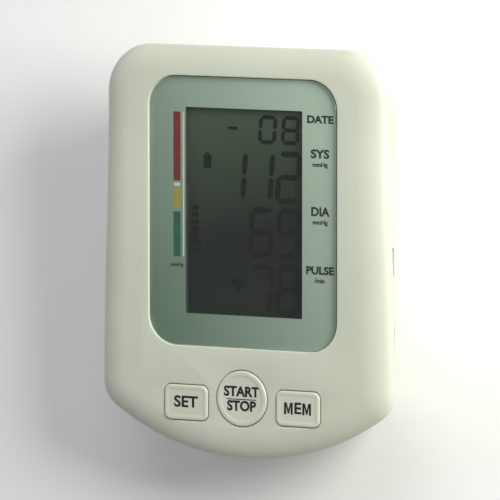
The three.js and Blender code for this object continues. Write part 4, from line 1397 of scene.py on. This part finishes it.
# cells and their springs: four cells across the case, each head to tail with the next
cell = {
    "radius": 7.1, "length": 49.2, "nub": 2.75, "nubLength": 1.3, "pitch": 15.2, "z": 11.5, "count": 4,
    "band": 13,
}
coil = {"wire": 0.4, "large": 4.4, "small": 3, "turns": 3.5}
contactPlates = {"thick": 0.5, "height": 11, "single": 11, "bridge": 26.2, "corner": 1.6}
firstCellY = (bay["low"] + bay["high"]) / 2 - cell["pitch"] * (cell["count"] - 1) / 2
plateX = bay["half"] - gap - contactPlates["thick"]  # inner side of the contact plates


def cellProfiles():
    # each part of a cell as (radius, height) pairs, from the flat end at 0
    radius, length, nub = cell["radius"], cell["length"], cell["nub"]
    tip = length + cell["nubLength"]
    split, inner = length - cell["band"], radius - 0.3
    jacket = [
        (radius - 1.6, 0.25), (radius - 1.0, 0.1), (radius - 0.4, 0.12), (radius, 0.5), (radius, split),
        (inner, split), (inner, 0.8), (radius - 1.6, 0.8), (radius - 1.6, 0.25),
    ]
    band = [
        (inner, split), (radius, split), (radius, length - 0.6), (radius - 0.4, length - 0.15),
        (radius - 1.4, length), (radius - 1.9, length - 0.25), (radius - 1.9, length - 0.9),
        (inner, length - 0.9), (inner, split),
    ]
    positive = [
        (0, length - 0.8), (radius - 1.9, length - 0.8), (radius - 1.9, length - 0.2),
        (nub + 0.4, length - 0.2), (nub, length + 0.1), (nub, tip - 0.3), (nub - 0.3, tip), (0, tip),
    ]
    negative = [
        (0, 0), (radius - 2.6, 0), (radius - 2.2, 0.25), (radius - 1.6, 0.25), (radius - 1.6, 1.0), (0, 1.0),
    ]
    return jacket, band, positive, negative


def makeCells():
    flatEnd = plateX - gap - cell["nubLength"] - cell["length"]
    jacket, band, positive, negative = cellProfiles()
    springSizes = {**coil, "height": plateX + flatEnd - 2 * gap - 2 * coil["wire"]}
    jackets, bands, ends, springs = [], [], [], []
    alongX = Matrix.Rotation(pi / 2, 4, "Y")
    for i in range(cell["count"]):
        # neighbours lie head to tail
        middle = (standPlace @ Matrix.Translation((0, firstCellY + i * cell["pitch"], cell["z"]))
                  @ Matrix.Rotation(0 if i % 2 == 0 else pi, 4, "Z"))
        place = middle @ Matrix.Translation((flatEnd, 0, 0)) @ alongX
        jackets.append(turnedMesh("jacket", jacket, place, 72))
        bands.append(turnedMesh("band", band, place, 72))
        ends.append(turnedMesh("positiveEnd", positive, place, 56))
        ends.append(turnedMesh("negativeEnd", negative, place, 56))
        spring = coilMesh("spring", springSizes, nickelPlate)
        spring.transform(middle @ Matrix.Translation((-plateX + gap + coil["wire"], 0, 0)) @ alongX)
        springs.append(spring)
    count = range(1, cell["count"] + 1)
    for name, meshes, finish, slot, replaced in (
        ("cellJackets", jackets, cellFoil, "cell_jacket", ["cell_%d" % i for i in count]),
        ("cellBands", bands, cellBand, "cell_jacket", []),
        ("cellEnds", ends, nickelPlate, "steel", []),
        ("cellSprings", springs, nickelPlate, "steel", ["cell_spring_%d" % i for i in count]),
    ):
        mesh = joined(name, [facedOut(part) for part in meshes])
        smooth(mesh, 35)
        put(makeObject(mesh, name, finish), "root", slot, *replaced)


makeCells()
print("cells and springs made")


# contacts, sockets and the air inlet
usbTongue = {"margin": 3.2, "thick": 1.2, "corner": 0.25}
usbPin = {"count": 5, "width": 0.35, "thick": 0.12, "first": -1.6, "stride": 0.8, "z": -0.55}


def contactPlate(way, y, width, bumps):
    # a pressed plate with rounded corners, and a dome where a cell's tip meets it
    thick = contactPlates["thick"]
    upright = standPlace @ Matrix.Translation((way * plateX, y, cell["z"])) @ Matrix((
        (0, 0, way, 0), (way, 0, 0, 0), (0, 1, 0, 0), (0, 0, 0, 1)))
    outline = roundedBox(width, contactPlates["height"], contactPlates["corner"], 0, 0, 6)
    parts = [prism("plate", outline, [(-0.1, 0), (0, 0.1), (0, thick)], upright)]
    dome = [(0, -0.22), (1.1, -0.2), (1.9, -0.1), (2.4, 0.02), (2.4, 0.2), (0, 0.2)]
    for offset in bumps:
        parts.append(turnedMesh("bump", dome, upright @ Matrix.Translation((way * offset, 0, 0)), 32))
    return [facedOut(part) for part in parts]


def makeContacts():
    pitch, single, bridge = cell["pitch"], contactPlates["single"], contactPlates["bridge"]
    meshes = []
    # which side, how many pitches from the first cell, width, and where its dome is
    for way, along, width, bumps in (
        (1, 0.5, bridge, [-pitch / 2]), (1, 2.5, bridge, [-pitch / 2]), (-1, 1.5, bridge, [-pitch / 2]),
        (-1, 0, single, []), (-1, 3, single, [0]),
    ):
        meshes += contactPlate(way, firstCellY + along * pitch, width, bumps)
    mesh = joined("cellContacts", meshes)
    smooth(mesh, 35)
    put(makeObject(mesh, "cellContacts", nickelPlate), "root", "steel", "contact_bridge_right_1",
        "contact_bridge_right_2", "contact_bridge_left", "contact_negative", "contact_positive")


def makeUsbSocket():
    width, height, thick, front = usb["width"], usb["height"], usb["shell"], usb["front"]
    back = front - usb["length"]
    place = facingX(0, usb["y"], usb["z"])
    outer = roundedBox(width, height, 0.9, 0, 0, 8)
    inner = roundedBox(width - 2 * thick, height - 2 * thick, 0.6, 0, 0, 8)
    mesh = facedOut(prism("usbShell", outer, [(0, back), (0, front - 0.1), (-0.1, front)], place))
    piece = makeObject(mesh, "usbShell", nickelPlate)
    mouth = [(0, back + 1), (0, front - 0.35), (0.25, front + 0.1), (0.25, front + 1)]
    combine(piece, [prism("inside", inner, mouth, place)])
    smooth(piece.data, 35)
    put(piece, "root", "steel", "usb_socket")

    tongue = roundedBox(width - usbTongue["margin"], usbTongue["thick"], usbTongue["corner"], 0, 0.1, 4)
    run = [(0, back + 0.8), (0, front - 1.4), (-0.2, front - 1.2)]
    mesh = facedOut(prism("usbTongue", tongue, run, place))
    smooth(mesh, 35)
    put(makeObject(mesh, "usbTongue", darkAbs), "root", "dark_plastic")

    pin = roundedBox(usbPin["width"], usbPin["thick"], 0.04, 0, 0, 2)
    unit = facedOut(prism("pin", pin, [(0, back + 1.2), (0, front - 1.5)], place))
    first = (0, usbPin["first"] * mm, usbPin["z"] * mm)
    pins = rowOf("usbContacts", unit, usbPin["count"], first, (0, usbPin["stride"] * mm, 0), goldPlate)
    put(pins, "root", "steel")


def makeDcSocket():
    # moulded square body with a round mouth, and inside it a centre pin and a side spring
    side, front, bore = dcJack["side"], dcJack["front"], dcJack["bore"]
    back = front - dcJack["length"]
    place = facingX(0, dcJack["y"], dcJack["z"])
    body = [(-0.15, back), (0, back + 0.15), (0, front - 0.2), (-0.2, front)]
    mesh = facedOut(prism("dcSocket", roundedBox(side, side, 0.7, 0, 0, 5), body, place))
    piece = makeObject(mesh, "dcSocket", darkAbs)
    mouth = [(0, back + 1.5), (0, front - 0.5), (0.35, front), (0.35, front + 1)]
    combine(piece, [prism("bore", circle(bore, 0, 0, 48), mouth, place)])
    smooth(piece.data, 35)
    put(piece, "root", "dark_plastic", "dc_socket")

    pin = turnedMesh("dcPin", [
        (0, back + 1), (0.9, back + 1), (0.9, front - 1.5), (0.78, front - 1.1), (0.4, front - 0.95),
        (0, front - 0.9),
    ], place, 32)
    leaf = roundedBox(1.4, 0.3, 0.1, 0, 0.25 - bore, 2)
    spring = prism("spring", leaf, [(0, back + 1.6), (0, front - 2.2)], place)
    metal = joined("dcContacts", [facedOut(pin), facedOut(spring)])
    smooth(metal, 35)
    put(makeObject(metal, "dcContacts", nickelPlate), "root", "steel")


def makeAirInlet():
    # the socket with its groove, collar and hose barb, bored through, and the ring that seals it in the wall
    barrel, bore, lip, ease, groove = jack["barrel"], jack["bore"], 0.3, 0.09, 0.22
    barb = bore - 0.4
    place = facingX(jack["bossX"] - gap - 8.6, jack["y"], jack["z"])
    profile = [
        (bore + lip, 0.0), (barrel - lip, 0.0), (barrel - ease, ease), (barrel, lip), (barrel, 2.2),
        (barrel - groove, 2.35), (barrel - groove, 3.0), (barrel, 3.15), (barrel, 9.2), (5.2, 9.2),
        (5.4, 9.4), (5.4, 10.6), (5.2, 10.8), (2.15, 10.8), (2, 11), (2, 13.6), (2.12, 14.0), (1.8, 15.2),
        (barb, 15.2), (barb, 8), (bore, 7.4), (bore, lip), (bore + ease, ease), (bore + lip, 0.0),
    ]
    mesh = facedOut(turnedMesh("airInlet", profile, place, 64))
    smooth(mesh, 30)
    put(makeObject(mesh, "airInlet", darkAbs), "root", "dark_plastic", "air_inlet")

    inner, outer = barrel + gap, barrel + 1.4
    ring = [
        (inner, 0.2), (inner + 0.2, 0), (outer - 0.2, 0), (outer, 0.2), (outer, 0.8), (outer - 0.2, 1),
        (inner + 0.2, 1), (inner, 0.8), (inner, 0.2),
    ]
    ringPlace = facingX(jack["pocketX"] - gap - 1, jack["y"], jack["z"])
    mesh = facedOut(turnedMesh("inletSeal", ring, ringPlace, 64))
    smooth(mesh, 40)
    put(makeObject(mesh, "inletSeal", footRubber), "root", "rubber", "inlet_seal")


makeContacts()
makeUsbSocket()
makeDcSocket()
makeAirInlet()
print("contacts, sockets and inlet made")


# the finish and the record's slot of each node that keeps its own shape, by how its name starts
finishes = [
    ("window_mask", maskInk, "mask_print"), ("lcd_glass", polariser, "lcd_glass"),
    ("lcd_backlight", whiteAbs, "white_plastic"), ("lcd_holder", darkAbs, "dark_plastic"),
    ("zebra", footRubber, "rubber"), ("main_board", boardMask, "circuit_board"),
    ("main_chip", darkAbs, "dark_plastic"), ("pressure_sensor", whiteAbs, "white_plastic"),
    ("capacitor", cellFoil, "cell_jacket"), ("pump_head", whiteAbs, "white_plastic"),
    ("pump_sleeve", openFoam, "foam"), ("pump_motor", nickelPlate, "steel"),
    ("air_cross", whiteAbs, "white_plastic"), ("inlet_seal", footRubber, "rubber"),
    ("inlet_hose", hoseSilicone, "hose"), ("pump_hose", hoseSilicone, "hose"),
    ("valve_hose", hoseSilicone, "hose"), ("sensor_hose", hoseSilicone, "hose"),
    ("cell_spring", nickelPlate, "steel"), ("cell_", cellFoil, "cell_jacket"),
    ("foot_", footRubber, "rubber"), ("contact", nickelPlate, "steel"),
    ("board_screw", nickelPlate, "steel"), ("case_screw", nickelPlate, "steel"),
    ("usb_socket", nickelPlate, "steel"), ("air_inlet", darkAbs, "dark_plastic"),
    ("dc_socket", darkAbs, "dark_plastic"), ("speaker", darkAbs, "dark_plastic"),
    ("release_valve", nickelPlate, "steel"), ("set_switch", darkAbs, "dark_plastic"),
    ("start_stop_switch", darkAbs, "dark_plastic"), ("mem_switch", darkAbs, "dark_plastic"),
    ("", shellAbs, "shell"),
]
for name, node in nodes.items():
    finish, slot = next((finish, slot) for start, finish, slot in finishes if name.startswith(start))
    for slotIndex in range(len(node.material_slots)):
        node.material_slots[slotIndex].material = finish
print("carried-over pieces finished")
